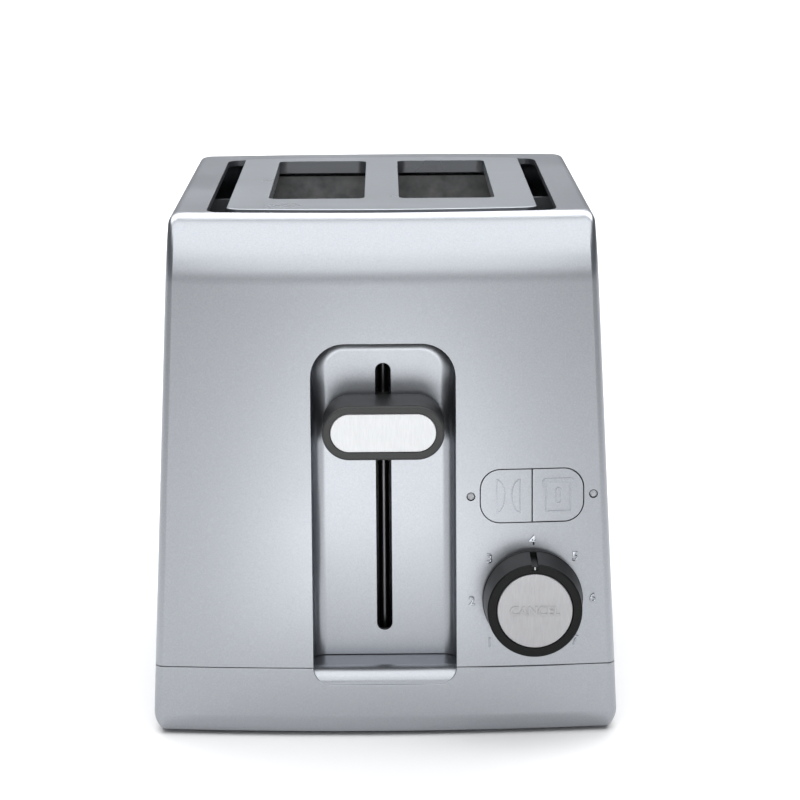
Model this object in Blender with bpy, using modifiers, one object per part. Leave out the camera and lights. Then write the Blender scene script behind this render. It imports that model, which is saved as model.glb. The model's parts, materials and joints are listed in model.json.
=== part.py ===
"""A two-slot pop-up toaster as separate sub-parts, in metres, +Z up.

The toaster is designed about the middle of its body, with its front facing -Y. The empty
toaster_frame carries every part, and puts the origin on the table under the middle of the
toaster's overall box. Everything stands at rest: carriage up, dial at its middle setting.
"""

import math

import bmesh
import bpy
from mathutils import Matrix, Vector

# ---------------------------------------------------------------- driving dimensions

# Outer body, measured at the seam between housing and base.
BODY_HALF_WIDTH = 0.0893
BODY_HALF_LENGTH = 0.129
BODY_TOP = 0.202
SEAM_HEIGHT = 0.0276
SEAM_GAP = 0.0003

# How far a cutter runs past the faces that it opens.
PAST = 0.01

# Points closer than WELD are joined. Inner corners keep at least SMALLEST_EDGE of radius.
WELD = 0.00001
SMALLEST_EDGE = 0.001
SIDE_DRAFT = math.radians(2.5)
END_DRAFT = math.radians(1.5)
END_BOW = 0.0055
CORNER_RADIUS = 0.005
TOP_ROLL_HEIGHT = 0.026
TOP_ROLL_DEPTH = 0.019
SIDE_TOP_RADIUS = 0.004
WALL = 0.0025
FOOT_STANDOFF = 0.002
BASE_FLOOR = 0.0022
BASE_EDGE_HEIGHT = 0.007
BASE_EDGE_INSET = 0.0014
BASE_EDGE_TUCK = 0.0008
BASE_EDGE_LAND = 0.0005

# Working clearance between pieces that touch on the real toaster.
GAP = 0.0003

# Lever recess in the front face, and the slot in its floor.
RECESS_HALF_WIDTH = 0.0277
RECESS_BOTTOM = 0.0209
RECESS_TOP = 0.1538
RECESS_TOP_RADIUS = 0.013
RECESS_BOTTOM_RADIUS = 0.007
RECESS_DEPTH = 0.021
SLOT_WIDTH = 0.0061
SLOT_BOTTOM = 0.0374
SLOT_TOP = 0.1436
DIAL_HOLE_GAP = 0.0006

# Opening in the top, and the sheet that fills it.
WELL_HALF_WIDTH = 0.0676
WELL_FRONT = -0.103
WELL_BACK = 0.0835
WELL_RADIUS = 0.008
PLATE_HALF_WIDTH = 0.060
PLATE_FRONT_GAP = 0.0055
PLATE_BACK_GAP = 0.0005
PLATE_RADIUS = 0.004
PLATE_RISE = 0.0005
PLATE_THICKNESS = 0.001
TOP_OPENING_BOW = 0.005
BREAD_SLOT_INNER = 0.0068
BREAD_SLOT_WIDTH = 0.038
BREAD_SLOT_FRONT = -0.0665
BREAD_SLOT_BACK = 0.0729
BREAD_SLOT_RADIUS = 0.004
LIP_DEPTH = 0.005
LIP_THICKNESS = 0.001
LIP_SETBACK = 0.0002

# Sheet-metal oven chamber under the plate.
SHEET = 0.001
CHAMBER_FRONT = -0.073
CHAMBER_BACK = 0.079
CHAMBER_HALF_WIDTH = 0.0575
CHAMBER_END_BOTTOM = 0.024
CHAMBER_TOP_GAP = 0.0012
HEATER_CARD = 0.0008
HEATER_INNER_X = 0.0036
HEATER_OUTER_X = BREAD_SLOT_INNER + BREAD_SLOT_WIDTH + 0.0042
HEATER_BOTTOM = 0.040
HEATER_TOP = BODY_TOP - 0.020
VENT_COLUMNS = 5
VENT_HALF_LENGTH = 0.009
VENT_HALF_HEIGHT = 0.003
VENT_ROWS = (0.055, BODY_TOP - 0.049)

# Bread guides: grids either side of each slot, which tilt about their lower bars.
GUIDE_OFFSET = BREAD_SLOT_WIDTH / 2 - 0.003
GUIDE_PIVOT_HEIGHT = 0.036
GUIDE_TOP = BODY_TOP - 0.016
GUIDE_BAR = 0.0018
GUIDE_UPRIGHTS = 7
GUIDE_PIVOT_HOLE = 0.0019
GUIDE_END_GAP = 0.0045
GUIDE_PIVOT_REACH = 0.0025

# Carriage: what the lever lifts and lowers.
ROD_Y = -0.095
ROD_RADIUS = 0.002
ROD_BOTTOM = 0.0065
SLIDER_CENTRE = 0.1215
SLIDER_HEIGHT = 0.018
SLIDER_HALF_WIDTH = 0.008
SLIDER_DEPTH = 0.014
SLIDER_BEVEL = 0.0012
CARRIAGE_TRAVEL = 0.077
CARRIAGE_BOOST = 0.012
CARRIAGE_PLATE_HALF_WIDTH = 0.030
CARRIAGE_PLATE_DROP = 0.002
CARRIAGE_PLATE_THICKNESS = 0.0015
RACK_TOP = 0.125
RACK_THICKNESS = 0.0014
RACK_HALF_WIDTH = 0.0105
RACK_NECK_HALF_WIDTH = 0.0025
RACK_WINDOWS = 8
RACK_BAR = 0.0022
RACK_SHOULDER_GAP = 0.004
RACK_TAIL = 0.004
RACK_SLOT_SIDE = 0.001
RACK_SLOT_BELOW = 0.004
RACK_SLOT_ABOVE = 0.003
ARM_WIDTH = 0.0044
ARM_HEIGHT = 0.012
ARM_IN_KNOB = 0.016
BRACKET_LOW = BODY_TOP - 0.016
BRACKET_THICKNESS = 0.002
BRACKET_HALF_WIDTH = 0.020
BRACKET_REACH = 0.007
ROD_TAIL = 0.0015
SPRING_X = -0.0125
SPRING_RADIUS = 0.0032
SPRING_WIRE = 0.0004
SPRING_TURNS = 11
SPRING_TAIL = 0.003

# Lever knob.
KNOB_HALF_WIDTH = 0.0233
KNOB_HALF_HEIGHT = 0.0105
KNOB_PROUD = 0.0100
KNOB_FLOOR_GAP = 0.0030
KNOB_RIM = 0.0029
KNOB_BEVEL = 0.0014
INSERT_THICKNESS = 0.0012

# Dial and its centre button.
DIAL_X = 0.0570
DIAL_Z = 0.0544
DIAL_RADIUS = 0.0193
DIAL_FRONT_RADIUS = DIAL_RADIUS - 0.00125
DIAL_HEIGHT = 0.0184
DIAL_FACE_GAP = 0.0004
DIAL_HUB_RADIUS = 0.0060
DIAL_BORE_RADIUS = 0.0032
CAP_RADIUS = DIAL_RADIUS - 0.0050
CAP_THICKNESS = 0.004
CAP_TRAVEL = 0.0015
CAP_STEM_RADIUS = 0.0025
CAP_DOME = 0.0003
CAP_EDGE = 0.0006
CAP_POCKET_GAP = 0.0012
DIAL_FRONT_EDGE = 0.0008
DIAL_BACK_EDGE = 0.0006
TRACK_RADIUS = 0.0105
TRACK_LENGTH = 0.006
HUB_ENTRY = 0.0015
POINTER_WIDTH = 0.0025
POINTER_DEPTH = 0.0008
POINTER_INNER_GAP = 0.0012

# Bagel and defrost push buttons, with a light each side.
BUTTONS_X = 0.0569
BUTTONS_Z = 0.0944
BUTTONS_WIDTH = 0.0395
BUTTONS_HEIGHT = 0.0204
BUTTONS_RADIUS = 0.0075
BUTTON_CLEARANCE = 0.0004
BUTTON_THICKNESS = 0.003
BUTTON_PROUD = 0.0005
BUTTON_TRAVEL = 0.0015
BUTTON_SPLIT = 0.0002
BUTTON_STEM_RADIUS = 0.0022
LIGHT_RADIUS = 0.0014
LIGHTS_X = (0.0334, 0.0806)
LIGHT_PROUD = 0.0003
LIGHT_SHOULDER = 0.0008
LIGHT_EDGE = 0.0003

# Control board behind the front panel.
BOARD_FRONT = -0.112
BOARD_THICKNESS = 0.0016
BOARD_LEFT = 0.0322
BOARD_RIGHT = BODY_HALF_WIDTH - 0.0063
BOARD_BOTTOM = 0.031
BOARD_TOP = 0.110
SWITCH_SIZE = 0.006
SWITCH_HEIGHT = 0.0035
PLUNGER_RADIUS = 0.0015
PLUNGER_REACH = 0.0008
RELAY_LEFT_LOW = (0.050, 0.070)
RELAY_RIGHT_HIGH = (0.069, 0.0855)
RELAY_DEPTH = 0.015
CAPACITOR_PLACE = (0.042, 0.050)
CAPACITOR_RADIUS = 0.005
CAPACITOR_HEIGHT = 0.0125
CAPACITOR_EDGE = 0.0005

# Holding magnet at the bottom of the carriage's travel.
MAGNET_X = 0.018
MAGNET_TOP = 0.0270
CORE_WIDTH = 0.016
CORE_DEPTH = 0.010
CORE_LEG = 0.004
ARMATURE_THICKNESS = 0.003
COIL_CLEARANCE = 0.0015
COIL_WALL = 0.0045
COIL_HALF_DEPTH = 0.0102
COIL_BORE_HALF_DEPTH = 0.006
COIL_CORNER = 0.003
COIL_HEIGHT = 0.013
CONTACT_LEFT = -0.028
CONTACT_RIGHT = -0.012
CONTACT_HALF_DEPTH = 0.006

# Crumb tray, drawn out at the back.
TRAY_HALF_WIDTH = 0.0535
TRAY_FRONT = -0.068
TRAY_BOTTOM = 0.0085
TRAY_HEIGHT = 0.008
TRAY_SHEET = 0.0008
TRAY_MOUTH_HEIGHT = 0.0125
TRAY_GRIP_DEPTH = 0.0022
TRAY_GRIP_HALF_WIDTH = 0.022
TRAY_GRIP_HEIGHT = 0.002
TRAY_GRIP_DROP = 0.0005
TRAY_SIDE_GAP = 0.001
TRAY_MOUTH_LOW = TRAY_BOTTOM - 0.0015
HANDLE_PROUD = 0.0002
HANDLE_STEPS = 6

# Rear inlet for the supply lead.
GLAND_X = 0.0720
GLAND_Z = 0.0150
GLAND_BORE_RADIUS = 0.0036
GLAND_RADIUS = 0.0058
GLAND_FLANGE_RADIUS = 0.0078
GLAND_INNER_RADIUS = 0.0068
GLAND_FLANGE = 0.002
GLAND_INNER_FLANGE = 0.0018
GLAND_EDGE = 0.0006

# Mains terminal block on the floor at the rear.
TERMINAL_LEFT_FRONT = (0.060, 0.1035)
TERMINAL_RIGHT_BACK = (0.080, 0.1130)
TERMINAL_TOP = 0.017
TERMINAL_BEVEL = 0.001

# Fasteners and feet.
FOOT_X = BODY_HALF_WIDTH - 0.0213
FOOT_Y = 0.098
FOOT_RADIUS = 0.007
FOOT_NECK_RADIUS = 0.003
FOOT_BARB = 0.0012
FOOT_BARB_HEIGHT = 0.003
FOOT_EDGE = 0.0004
SCREW_X = BODY_HALF_WIDTH - 0.0063
SCREW_Y = 0.072
POST_RADIUS = 0.0048
SCREW_RADIUS = 0.0016
SCREW_HEAD_RADIUS = 0.0032
POST_TOP = 0.052
POST_BOTTOM = 0.003
POST_CAP = 0.003
SCREW_TIP_GAP = 0.005
SCREW_CHAMFER = 0.001
SCREW_POINT = 0.004
SCREW_HEAD_HEIGHT = 0.002
SINK_TOP = 0.006

# Heights and depths that follow from the sizes above.
RECESS_FLOOR = -BODY_HALF_LENGTH + RECESS_DEPTH
FLOOR_TOP = FOOT_STANDOFF + BASE_FLOOR
BASE_TOP = SEAM_HEIGHT - SEAM_GAP / 2
PLATE_TOP = BODY_TOP + PLATE_RISE
SLOT_CENTRE = BREAD_SLOT_INNER + BREAD_SLOT_WIDTH / 2
CHAMBER_TOP = PLATE_TOP - PLATE_THICKNESS - CHAMBER_TOP_GAP
CHAMBER_END_TOP = CHAMBER_TOP - LIP_DEPTH
SLIDER_LOW = SLIDER_CENTRE - SLIDER_HEIGHT / 2
SLIDER_HIGH = SLIDER_CENTRE + SLIDER_HEIGHT / 2
SLIDER_BACK = ROD_Y + SLIDER_DEPTH / 2
SLIDER_FRONT = ROD_Y - SLIDER_DEPTH / 2
CARRIAGE_PLATE_FRONT = SLIDER_BACK + GAP
CARRIAGE_PLATE_BACK = CARRIAGE_PLATE_FRONT + CARRIAGE_PLATE_THICKNESS
BRACKET_BACK = CHAMBER_FRONT - SHEET / 2 - GAP
BRACKET_FRONT = ROD_Y - BRACKET_REACH
TRACK_FRONT = BOARD_FRONT - TRACK_LENGTH
SWITCH_FRONT = BOARD_FRONT - GAP - SWITCH_HEIGHT
SWITCH_TIP = SWITCH_FRONT - PLUNGER_REACH
SIDES = (("left", -1), ("right", 1))

COLLECTION = "pop_up_toaster"

# ---------------------------------------------------------------- scene and materials


def clear_scene():
    for old in list(bpy.data.objects):
        bpy.data.objects.remove(old)


def new_collection(name):
    made = bpy.data.collections.new(name)
    bpy.context.scene.collection.children.link(made)
    return made


clear_scene()
PARTS = new_collection(COLLECTION)
CUTTERS = new_collection("cutters")
CUTTERS.hide_render = True


def material(name, colour, roughness, metallic=0.0):
    made = bpy.data.materials.new(name)
    made.use_nodes = True
    shader = made.node_tree.nodes["Principled BSDF"]
    shader.inputs["Base Color"].default_value = (*colour, 1.0)
    shader.inputs["Roughness"].default_value = roughness
    shader.inputs["Metallic"].default_value = metallic
    return made


SILVER_PAINT = material("silver_paint", (0.50, 0.52, 0.54), 0.42, 0.75)
BRUSHED_SHEET = material("brushed_sheet", (0.47, 0.49, 0.52), 0.32, 0.95)
GALVANISED = material("galvanised_sheet", (0.42, 0.43, 0.44), 0.45, 0.9)
STEEL = material("bright_steel", (0.60, 0.60, 0.61), 0.25, 1.0)
DARK_PLASTIC = material("dark_grey_plastic", (0.035, 0.036, 0.038), 0.42)
BLACK_PLASTIC = material("black_plastic", (0.015, 0.015, 0.016), 0.35)
LIGHT_SATIN = material("light_satin_metal", (0.72, 0.73, 0.74), 0.38, 0.5)
MICA = material("mica_board", (0.55, 0.50, 0.40), 0.6)
CERAMIC = material("pale_moulding", (0.70, 0.68, 0.62), 0.6)
COPPER = material("copper_winding", (0.55, 0.24, 0.12), 0.35, 0.9)
BOARD_GREEN = material("board_green", (0.03, 0.16, 0.07), 0.5)
RUBBER = material("black_rubber", (0.02, 0.02, 0.02), 0.8)
CLEAR_LIGHT = material("light_pipe", (0.75, 0.77, 0.78), 0.2)

FRAME = bpy.data.objects.new("toaster_frame", None)
PARTS.objects.link(FRAME)

# ---------------------------------------------------------------- modelling helpers


def place(obj, location=(0, 0, 0), rotation=(0, 0, 0), parent=None):
    obj.location = location
    obj.rotation_euler = rotation
    obj.parent = parent or FRAME
    return obj


def mesh_object(name, mesh, finish, cutter=False):
    obj = bpy.data.objects.new(name, mesh)
    if cutter:
        CUTTERS.objects.link(obj)
        obj.display_type = "WIRE"
        obj.hide_render = True
    else:
        PARTS.objects.link(obj)
        mesh.materials.append(finish)
    return place(obj)


def smooth(obj, angle=35):
    obj.data.shade_smooth()
    obj.data.set_sharp_from_angle(angle=math.radians(angle))
    return obj


def bevel(obj, width, segments=2, angle=40):
    rounding = obj.modifiers.new("rounded_edges", "BEVEL")
    rounding.width = width
    rounding.segments = segments
    rounding.limit_method = "ANGLE"
    rounding.angle_limit = math.radians(angle)
    return obj


def boolean(obj, other, operation="DIFFERENCE"):
    step = obj.modifiers.new(operation.lower(), "BOOLEAN")
    step.operation = operation
    step.solver = "EXACT"
    step.object = other
    return obj


def cut(obj, *cutters):
    for cutter in cutters:
        boolean(obj, cutter)
    return obj


def add(obj, *others):
    for other in others:
        boolean(obj, other, "UNION")
    return obj


def block(name, low, high, finish=None, cutter=False):
    """A box between two opposite corners, its size in its mesh and its centre as its location."""
    bm = bmesh.new()
    bmesh.ops.create_cube(bm, size=1.0)
    size = Vector(high) - Vector(low)
    bmesh.ops.scale(bm, vec=size, verts=bm.verts)
    mesh = bpy.data.meshes.new(name)
    bm.to_mesh(mesh)
    bm.free()
    obj = mesh_object(name, mesh, finish, cutter)
    obj.location = (Vector(low) + Vector(high)) / 2
    return obj


TURNS = {
    "Z": (0, 0, 0),
    "-Y": (math.radians(90), 0, 0),
    "Y": (math.radians(-90), 0, 0),
    "X": (0, math.radians(90), 0),
}


def rod(name, radius, low, high, axis, centre, sides=16, finish=None, cutter=False):
    """A cylinder along an axis, from low to high on that axis, with centre as its other two places."""
    bm = bmesh.new()
    length = high - low
    bmesh.ops.create_cone(
        bm, cap_ends=True, segments=sides, radius1=radius, radius2=radius, depth=length
    )
    mesh = bpy.data.meshes.new(name)
    bm.to_mesh(mesh)
    bm.free()
    obj = mesh_object(name, mesh, finish, cutter)
    middle = (low + high) / 2
    if axis == "X":
        place(obj, (middle, centre[0], centre[1]), TURNS["X"])
    elif axis == "Y":
        place(obj, (centre[0], middle, centre[1]), TURNS["Y"])
    else:
        place(obj, (centre[0], centre[1], middle))
    return smooth(obj)


def turned(name, profile, steps, finish, location, axis="Z", closed=False, cutter=False):
    """A profile of (radius, height) points, run down its outer side, turned about an axis."""
    mesh = bpy.data.meshes.new(name)
    points = [(radius, 0.0, height) for radius, height in profile]
    edges = [(i, i + 1) for i in range(len(points) - 1)]
    if closed:
        edges.append((len(points) - 1, 0))
    mesh.from_pydata(points, edges, [])
    obj = mesh_object(name, mesh, finish, cutter)
    screw = obj.modifiers.new("turned", "SCREW")
    screw.axis = "Z"
    screw.steps = steps
    screw.render_steps = steps
    screw.use_merge_vertices = True
    screw.merge_threshold = WELD
    screw.use_smooth_shade = True
    return place(obj, location, TURNS[axis])


PLANES = {
    "XY": (0, 0, 0),
    "XZ": (math.radians(90), 0, 0),
    "YZ": (math.radians(90), 0, math.radians(90)),
}


def sheet(name, loops, thickness, plane, offset, finish=None, cutter=False):
    """A flat outline with holes, given thickness. offset is the middle of the thickness."""
    curve = bpy.data.curves.new(name, "CURVE")
    curve.dimensions = "2D"
    curve.fill_mode = "BOTH"
    curve.extrude = thickness / 2
    for loop in loops:
        spline = curve.splines.new("POLY")
        spline.points.add(len(loop) - 1)
        for point, (u, v) in zip(spline.points, loop):
            point.co = (u, v, 0.0, 1.0)
        spline.use_cyclic_u = True
    flat = bpy.data.objects.new(name + "_outline", curve)
    PARTS.objects.link(flat)
    bpy.context.view_layer.update()
    graph = bpy.context.evaluated_depsgraph_get()
    mesh = bpy.data.meshes.new_from_object(flat.evaluated_get(graph))
    mesh.name = name
    mesh.materials.clear()
    bm = bmesh.new()
    bm.from_mesh(mesh)
    bmesh.ops.remove_doubles(bm, verts=bm.verts, dist=WELD)
    bmesh.ops.recalc_face_normals(bm, faces=bm.faces)
    bm.to_mesh(mesh)
    bm.free()
    bpy.data.objects.remove(flat)
    obj = mesh_object(name, mesh, finish, cutter)
    along = {"XY": (0, 0, offset), "XZ": (0, offset, 0), "YZ": (offset, 0, 0)}[plane]
    return place(obj, along, PLANES[plane])


def arc(centre, radius, start, end, steps):
    """Points on an arc, both ends included, angles in degrees."""
    made = []
    for i in range(steps + 1):
        angle = math.radians(start + (end - start) * i / steps)
        made.append((centre[0] + radius * math.cos(angle), centre[1] + radius * math.sin(angle)))
    return made


def rounded_box(left, right, bottom, top, low_radius, top_radius=None, steps=4):
    """A rectangle with rounded corners, anticlockwise from its lower right."""
    upper = low_radius if top_radius is None else top_radius
    outline = arc((right - low_radius, bottom + low_radius), low_radius, -90, 0, steps)
    outline += arc((right - upper, top - upper), upper, 0, 90, steps)
    outline += arc((left + upper, top - upper), upper, 90, 180, steps)
    outline += arc((left + low_radius, bottom + low_radius), low_radius, 180, 270, steps)
    return outline


def box_loop(left, right, bottom, top):
    return [(right, bottom), (right, top), (left, top), (left, bottom)]


def bowed_box(half_width, front, back, bow, radius, arc_steps=8, corner_steps=3):
    """A plan outline whose ends bow outwards by bow at the middle. front and back are the
    places of the ends at their corners, and radius rounds the corners."""

    def end_half(reach):
        """The right half of one end, from its middle, as (x, distance from the plan's middle)."""
        lean = math.atan(2 * bow / half_width)
        tangent_x = half_width - radius + radius * math.sin(lean)
        points = []
        for i in range(arc_steps // 2 + 1):
            x = tangent_x * i / (arc_steps // 2)
            points.append((x, reach + bow * (1 - (x / half_width) ** 2)))
        centre = (half_width - radius, points[-1][1] - radius * math.cos(lean))
        sweep = arc(centre, radius, 90 - math.degrees(lean), 0, corner_steps)
        return points + sweep[1:]

    front_half = [(x, -y) for x, y in end_half(-front)]
    back_half = end_half(back)
    right = front_half + back_half[::-1]
    left = [(-x, y) for x, y in right[::-1]][1:-1]
    return right + left


def loft(name, rings, finish=None, cutter=False):
    """A closed solid through rings of equally many points, each ring anticlockwise from above."""
    bm = bmesh.new()
    loops = [[bm.verts.new(point) for point in ring] for ring in rings]
    for lower, upper in zip(loops, loops[1:]):
        for i in range(len(lower)):
            j = (i + 1) % len(lower)
            bm.faces.new((lower[i], lower[j], upper[j], upper[i]))
    bm.faces.new(loops[0][::-1])
    bm.faces.new(loops[-1])
    mesh = bpy.data.meshes.new(name)
    bm.to_mesh(mesh)
    bm.free()
    return mesh_object(name, mesh, finish, cutter)


# ---------------------------------------------------------------- the body's outer form

ROLL_START = BODY_TOP - TOP_ROLL_HEIGHT


def side_at(z):
    return BODY_HALF_WIDTH - (z - SEAM_HEIGHT) * math.tan(SIDE_DRAFT)


def end_at(z):
    return BODY_HALF_LENGTH - (z - SEAM_HEIGHT) * math.tan(END_DRAFT)


def body_ring(z, inset=0.0, extra=0.0):
    """The body's plan at height z, moved in by inset. Above the roll the ends and the side
    edges turn inwards to the flat top, which is inset below the body's own top."""
    top = BODY_TOP - inset
    half_width = side_at(z) - inset - extra
    half_length = end_at(min(z, ROLL_START)) - inset - extra
    if z > ROLL_START:
        rise = min((z - ROLL_START) / (top - ROLL_START), 1.0)
        half_length -= (TOP_ROLL_DEPTH - inset) * (1 - math.sqrt(1 - rise * rise))
    edge = max(SIDE_TOP_RADIUS - inset, SMALLEST_EDGE)
    if z > top - edge:
        rise = min((z - top + edge) / edge, 1.0)
        half_width -= edge * (1 - math.sqrt(1 - rise * rise))
    radius = max(CORNER_RADIUS - inset, SMALLEST_EDGE)
    corner = half_length - END_BOW
    return [(x, y, z) for x, y in bowed_box(half_width, -corner, corner, END_BOW, radius)]


def roll_levels(inset=0.0):
    """Heights up the rounded top: along the end roll, then round the side edge."""
    top = BODY_TOP - inset
    edge = max(SIDE_TOP_RADIUS - inset, SMALLEST_EDGE)
    roll = top - ROLL_START
    last = math.asin((roll - edge) / roll)
    levels = [ROLL_START + roll * math.sin(last * share) for share in (0, 0.33, 0.66, 1)]
    return levels + [top - edge + edge * math.sin(math.radians(a)) for a in (30, 60, 90)]


def face_y(x, z):
    """Where the front face is, at a place on it."""
    half_width = side_at(z)
    return -end_at(z) + END_BOW * (x / half_width) ** 2


def recess_cutter(name, spread):
    """The lever recess as a solid. spread is nothing for the hollow, and the wall for its pocket."""
    front = -BODY_HALF_LENGTH - 2 * PAST
    floor = RECESS_FLOOR + spread
    outline = rounded_box(
        -RECESS_HALF_WIDTH - spread,
        RECESS_HALF_WIDTH + spread,
        RECESS_BOTTOM - spread,
        RECESS_TOP + spread,
        RECESS_BOTTOM_RADIUS + spread,
        RECESS_TOP_RADIUS + spread,
    )
    return sheet(name, [outline], floor - front, "XZ", (front + floor) / 2, cutter=True)


def front_hole(name, outline_or_radius, x, z, sides=20):
    """A cutter through the front wall only."""
    low = -BODY_HALF_LENGTH - PAST
    high = BOARD_FRONT - 2 * SHEET
    if isinstance(outline_or_radius, float):
        return rod(name, outline_or_radius, low, high, "Y", (x, z), sides, cutter=True)
    return sheet(name, [outline_or_radius], high - low, "XZ", (low + high) / 2, cutter=True)


def corner_places(x, y):
    return (("front_left", -x, -y), ("front_right", x, -y), ("rear_left", -x, y), ("rear_right", x, y))


def screw_places():
    return corner_places(SCREW_X, SCREW_Y)


def outer_housing():
    bottom = SEAM_HEIGHT + SEAM_GAP / 2
    levels = [bottom] + roll_levels()
    housing = loft("outer_housing", [body_ring(z) for z in levels], SILVER_PAINT)
    inner_levels = [bottom - PAST] + roll_levels(WALL)
    hollow = loft("housing_hollow", [body_ring(z, WALL) for z in inner_levels], cutter=True)
    cut(hollow, recess_cutter("recess_pocket_upper", WALL))
    cut(housing, hollow)
    for corner, x, y in screw_places():
        post = rod("post_" + corner, POST_RADIUS, bottom, POST_TOP, "Z", (x, y), 12, cutter=True)
        add(housing, post)
        bore = rod(
            "post_bore_" + corner,
            SCREW_RADIUS + GAP,
            bottom - PAST,
            POST_TOP - POST_CAP,
            "Z",
            (x, y),
            10,
            cutter=True,
        )
        cut(housing, bore)
    cut(housing, recess_cutter("recess_hollow_upper", 0.0))
    well = bowed_box(WELL_HALF_WIDTH, WELL_FRONT, WELL_BACK, TOP_OPENING_BOW, WELL_RADIUS)
    cut(housing, sheet("well_opening", [well], 2 * PAST, "XY", BODY_TOP, cutter=True))
    slot_radius = SLOT_WIDTH / 2
    slot = rounded_box(-slot_radius, slot_radius, SLOT_BOTTOM, SLOT_TOP, 0.97 * slot_radius)
    cut(housing, sheet("lever_slot", [slot], 2 * PAST, "XZ", RECESS_FLOOR, cutter=True))
    cut(housing, front_hole("dial_hole", DIAL_HUB_RADIUS + DIAL_HOLE_GAP, DIAL_X, DIAL_Z, 24))
    opening = rounded_box(
        BUTTONS_X - BUTTONS_WIDTH / 2 - BUTTON_CLEARANCE,
        BUTTONS_X + BUTTONS_WIDTH / 2 + BUTTON_CLEARANCE,
        BUTTONS_Z - BUTTONS_HEIGHT / 2 - BUTTON_CLEARANCE,
        BUTTONS_Z + BUTTONS_HEIGHT / 2 + BUTTON_CLEARANCE,
        BUTTONS_RADIUS + BUTTON_CLEARANCE,
    )
    cut(housing, front_hole("button_opening", opening, 0, 0))
    for i, x in enumerate(LIGHTS_X):
        cut(housing, front_hole(f"light_hole_{i}", LIGHT_RADIUS + GAP, x, BUTTONS_Z, 12))
    return smooth(housing)


def base_levels():
    """(height, inset) pairs up the base skirt, whose lower edge is rounded in."""
    made = [(FOOT_STANDOFF, BASE_EDGE_INSET + BASE_EDGE_TUCK)]
    for share in (0.0, 0.35, 0.7, 1.0):
        turn = (1 - share) ** 2
        height = BASE_EDGE_LAND + BASE_EDGE_HEIGHT * share
        made.append((FOOT_STANDOFF + height, BASE_EDGE_INSET * turn))
    return made


def recess_sill():
    """The raised sill at the foot of the lever recess, rolled over towards the front."""
    front = face_y(RECESS_HALF_WIDTH, RECESS_BOTTOM) + GAP
    back = RECESS_FLOOR + WALL / 2
    low = RECESS_BOTTOM - WALL / 2
    radius = BASE_TOP - RECESS_BOTTOM
    roll = arc((front + radius, RECESS_BOTTOM), radius, 90, 180, 6)
    outline = [(front, low), (back, low), (back, BASE_TOP)] + roll
    width = 2 * RECESS_HALF_WIDTH + WALL
    return sheet("recess_sill", [outline], width, "YZ", 0, cutter=True)


def base_shell():
    top = BASE_TOP
    rings = [body_ring(z, 0.0, inset) for z, inset in base_levels()]
    base = loft("base_shell", rings + [body_ring(top)], SILVER_PAINT)
    hollow = loft(
        "base_hollow",
        [body_ring(FLOOR_TOP, WALL + BASE_EDGE_INSET), body_ring(top + PAST, WALL)],
        cutter=True,
    )
    cut(hollow, recess_cutter("recess_pocket_lower", WALL))
    cut(base, hollow)
    cut(base, recess_cutter("recess_hollow_lower", 0.0))
    add(base, recess_sill())
    for corner, x, y in screw_places():
        post = rod("base_post_" + corner, POST_RADIUS, POST_BOTTOM, top, "Z", (x, y), 12, cutter=True)
        add(base, post)
        bore = rod(
            "base_bore_" + corner, SCREW_RADIUS + GAP, -PAST, top + PAST, "Z", (x, y), 10, cutter=True
        )
        sink = rod(
            "base_sink_" + corner, SCREW_HEAD_RADIUS + GAP, -PAST, SINK_TOP, "Z", (x, y), 12, cutter=True
        )
        cut(base, bore, sink)
    for corner, x, y in corner_places(FOOT_X, FOOT_Y):
        hole = rod("foot_hole_" + corner, FOOT_NECK_RADIUS, -PAST, 2 * PAST, "Z", (x, y), 12, cutter=True)
        cut(base, hole)
    mouth = block(
        "tray_mouth",
        (-TRAY_HALF_WIDTH - TRAY_SIDE_GAP, BODY_HALF_LENGTH - 2 * PAST, TRAY_MOUTH_LOW),
        (
            TRAY_HALF_WIDTH + TRAY_SIDE_GAP,
            BODY_HALF_LENGTH + 2 * PAST,
            TRAY_MOUTH_LOW + TRAY_MOUTH_HEIGHT,
        ),
        cutter=True,
    )
    inlet = rod(
        "inlet_hole",
        GLAND_RADIUS + GAP,
        BODY_HALF_LENGTH - 2 * PAST,
        BODY_HALF_LENGTH + 2 * PAST,
        "Y",
        (GLAND_X, GLAND_Z),
        16,
        cutter=True,
    )
    cut(base, mouth, inlet)
    return smooth(base)


def base_screws():
    head_high = SINK_TOP - GAP
    tip = POST_TOP - SCREW_TIP_GAP
    for corner, x, y in screw_places():
        profile = [
            (0.0, tip),
            (SCREW_RADIUS / 2, tip - SCREW_CHAMFER),
            (SCREW_RADIUS, tip - SCREW_POINT),
            (SCREW_RADIUS, head_high),
            (SCREW_HEAD_RADIUS, head_high),
            (SCREW_HEAD_RADIUS, head_high - SCREW_HEAD_HEIGHT),
            (0.0, head_high - SCREW_HEAD_HEIGHT),
        ]
        turned("base_screw_" + corner, profile, 12, STEEL, (x, y, 0))


def rubber_feet():
    """Push-in feet: a disc under the floor, a neck through it and a barb above it."""
    neck = FOOT_NECK_RADIUS - GAP
    barb = FOOT_NECK_RADIUS + FOOT_BARB
    under = FOOT_STANDOFF - GAP
    for corner, x, y in corner_places(FOOT_X, FOOT_Y):
        profile = [
            (0.0, FLOOR_TOP + FOOT_BARB_HEIGHT),
            (neck * 0.7, FLOOR_TOP + FOOT_BARB_HEIGHT),
            (barb, FLOOR_TOP + GAP),
            (neck, FLOOR_TOP + GAP),
            (neck, under),
            (FOOT_RADIUS, under),
            (FOOT_RADIUS, FOOT_EDGE),
            (FOOT_RADIUS - FOOT_EDGE, 0.0),
            (0.0, 0.0),
        ]
        turned("rubber_foot_" + corner, profile, 16, RUBBER, (x, y, 0))


# ---------------------------------------------------------------- top plate and chamber


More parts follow.
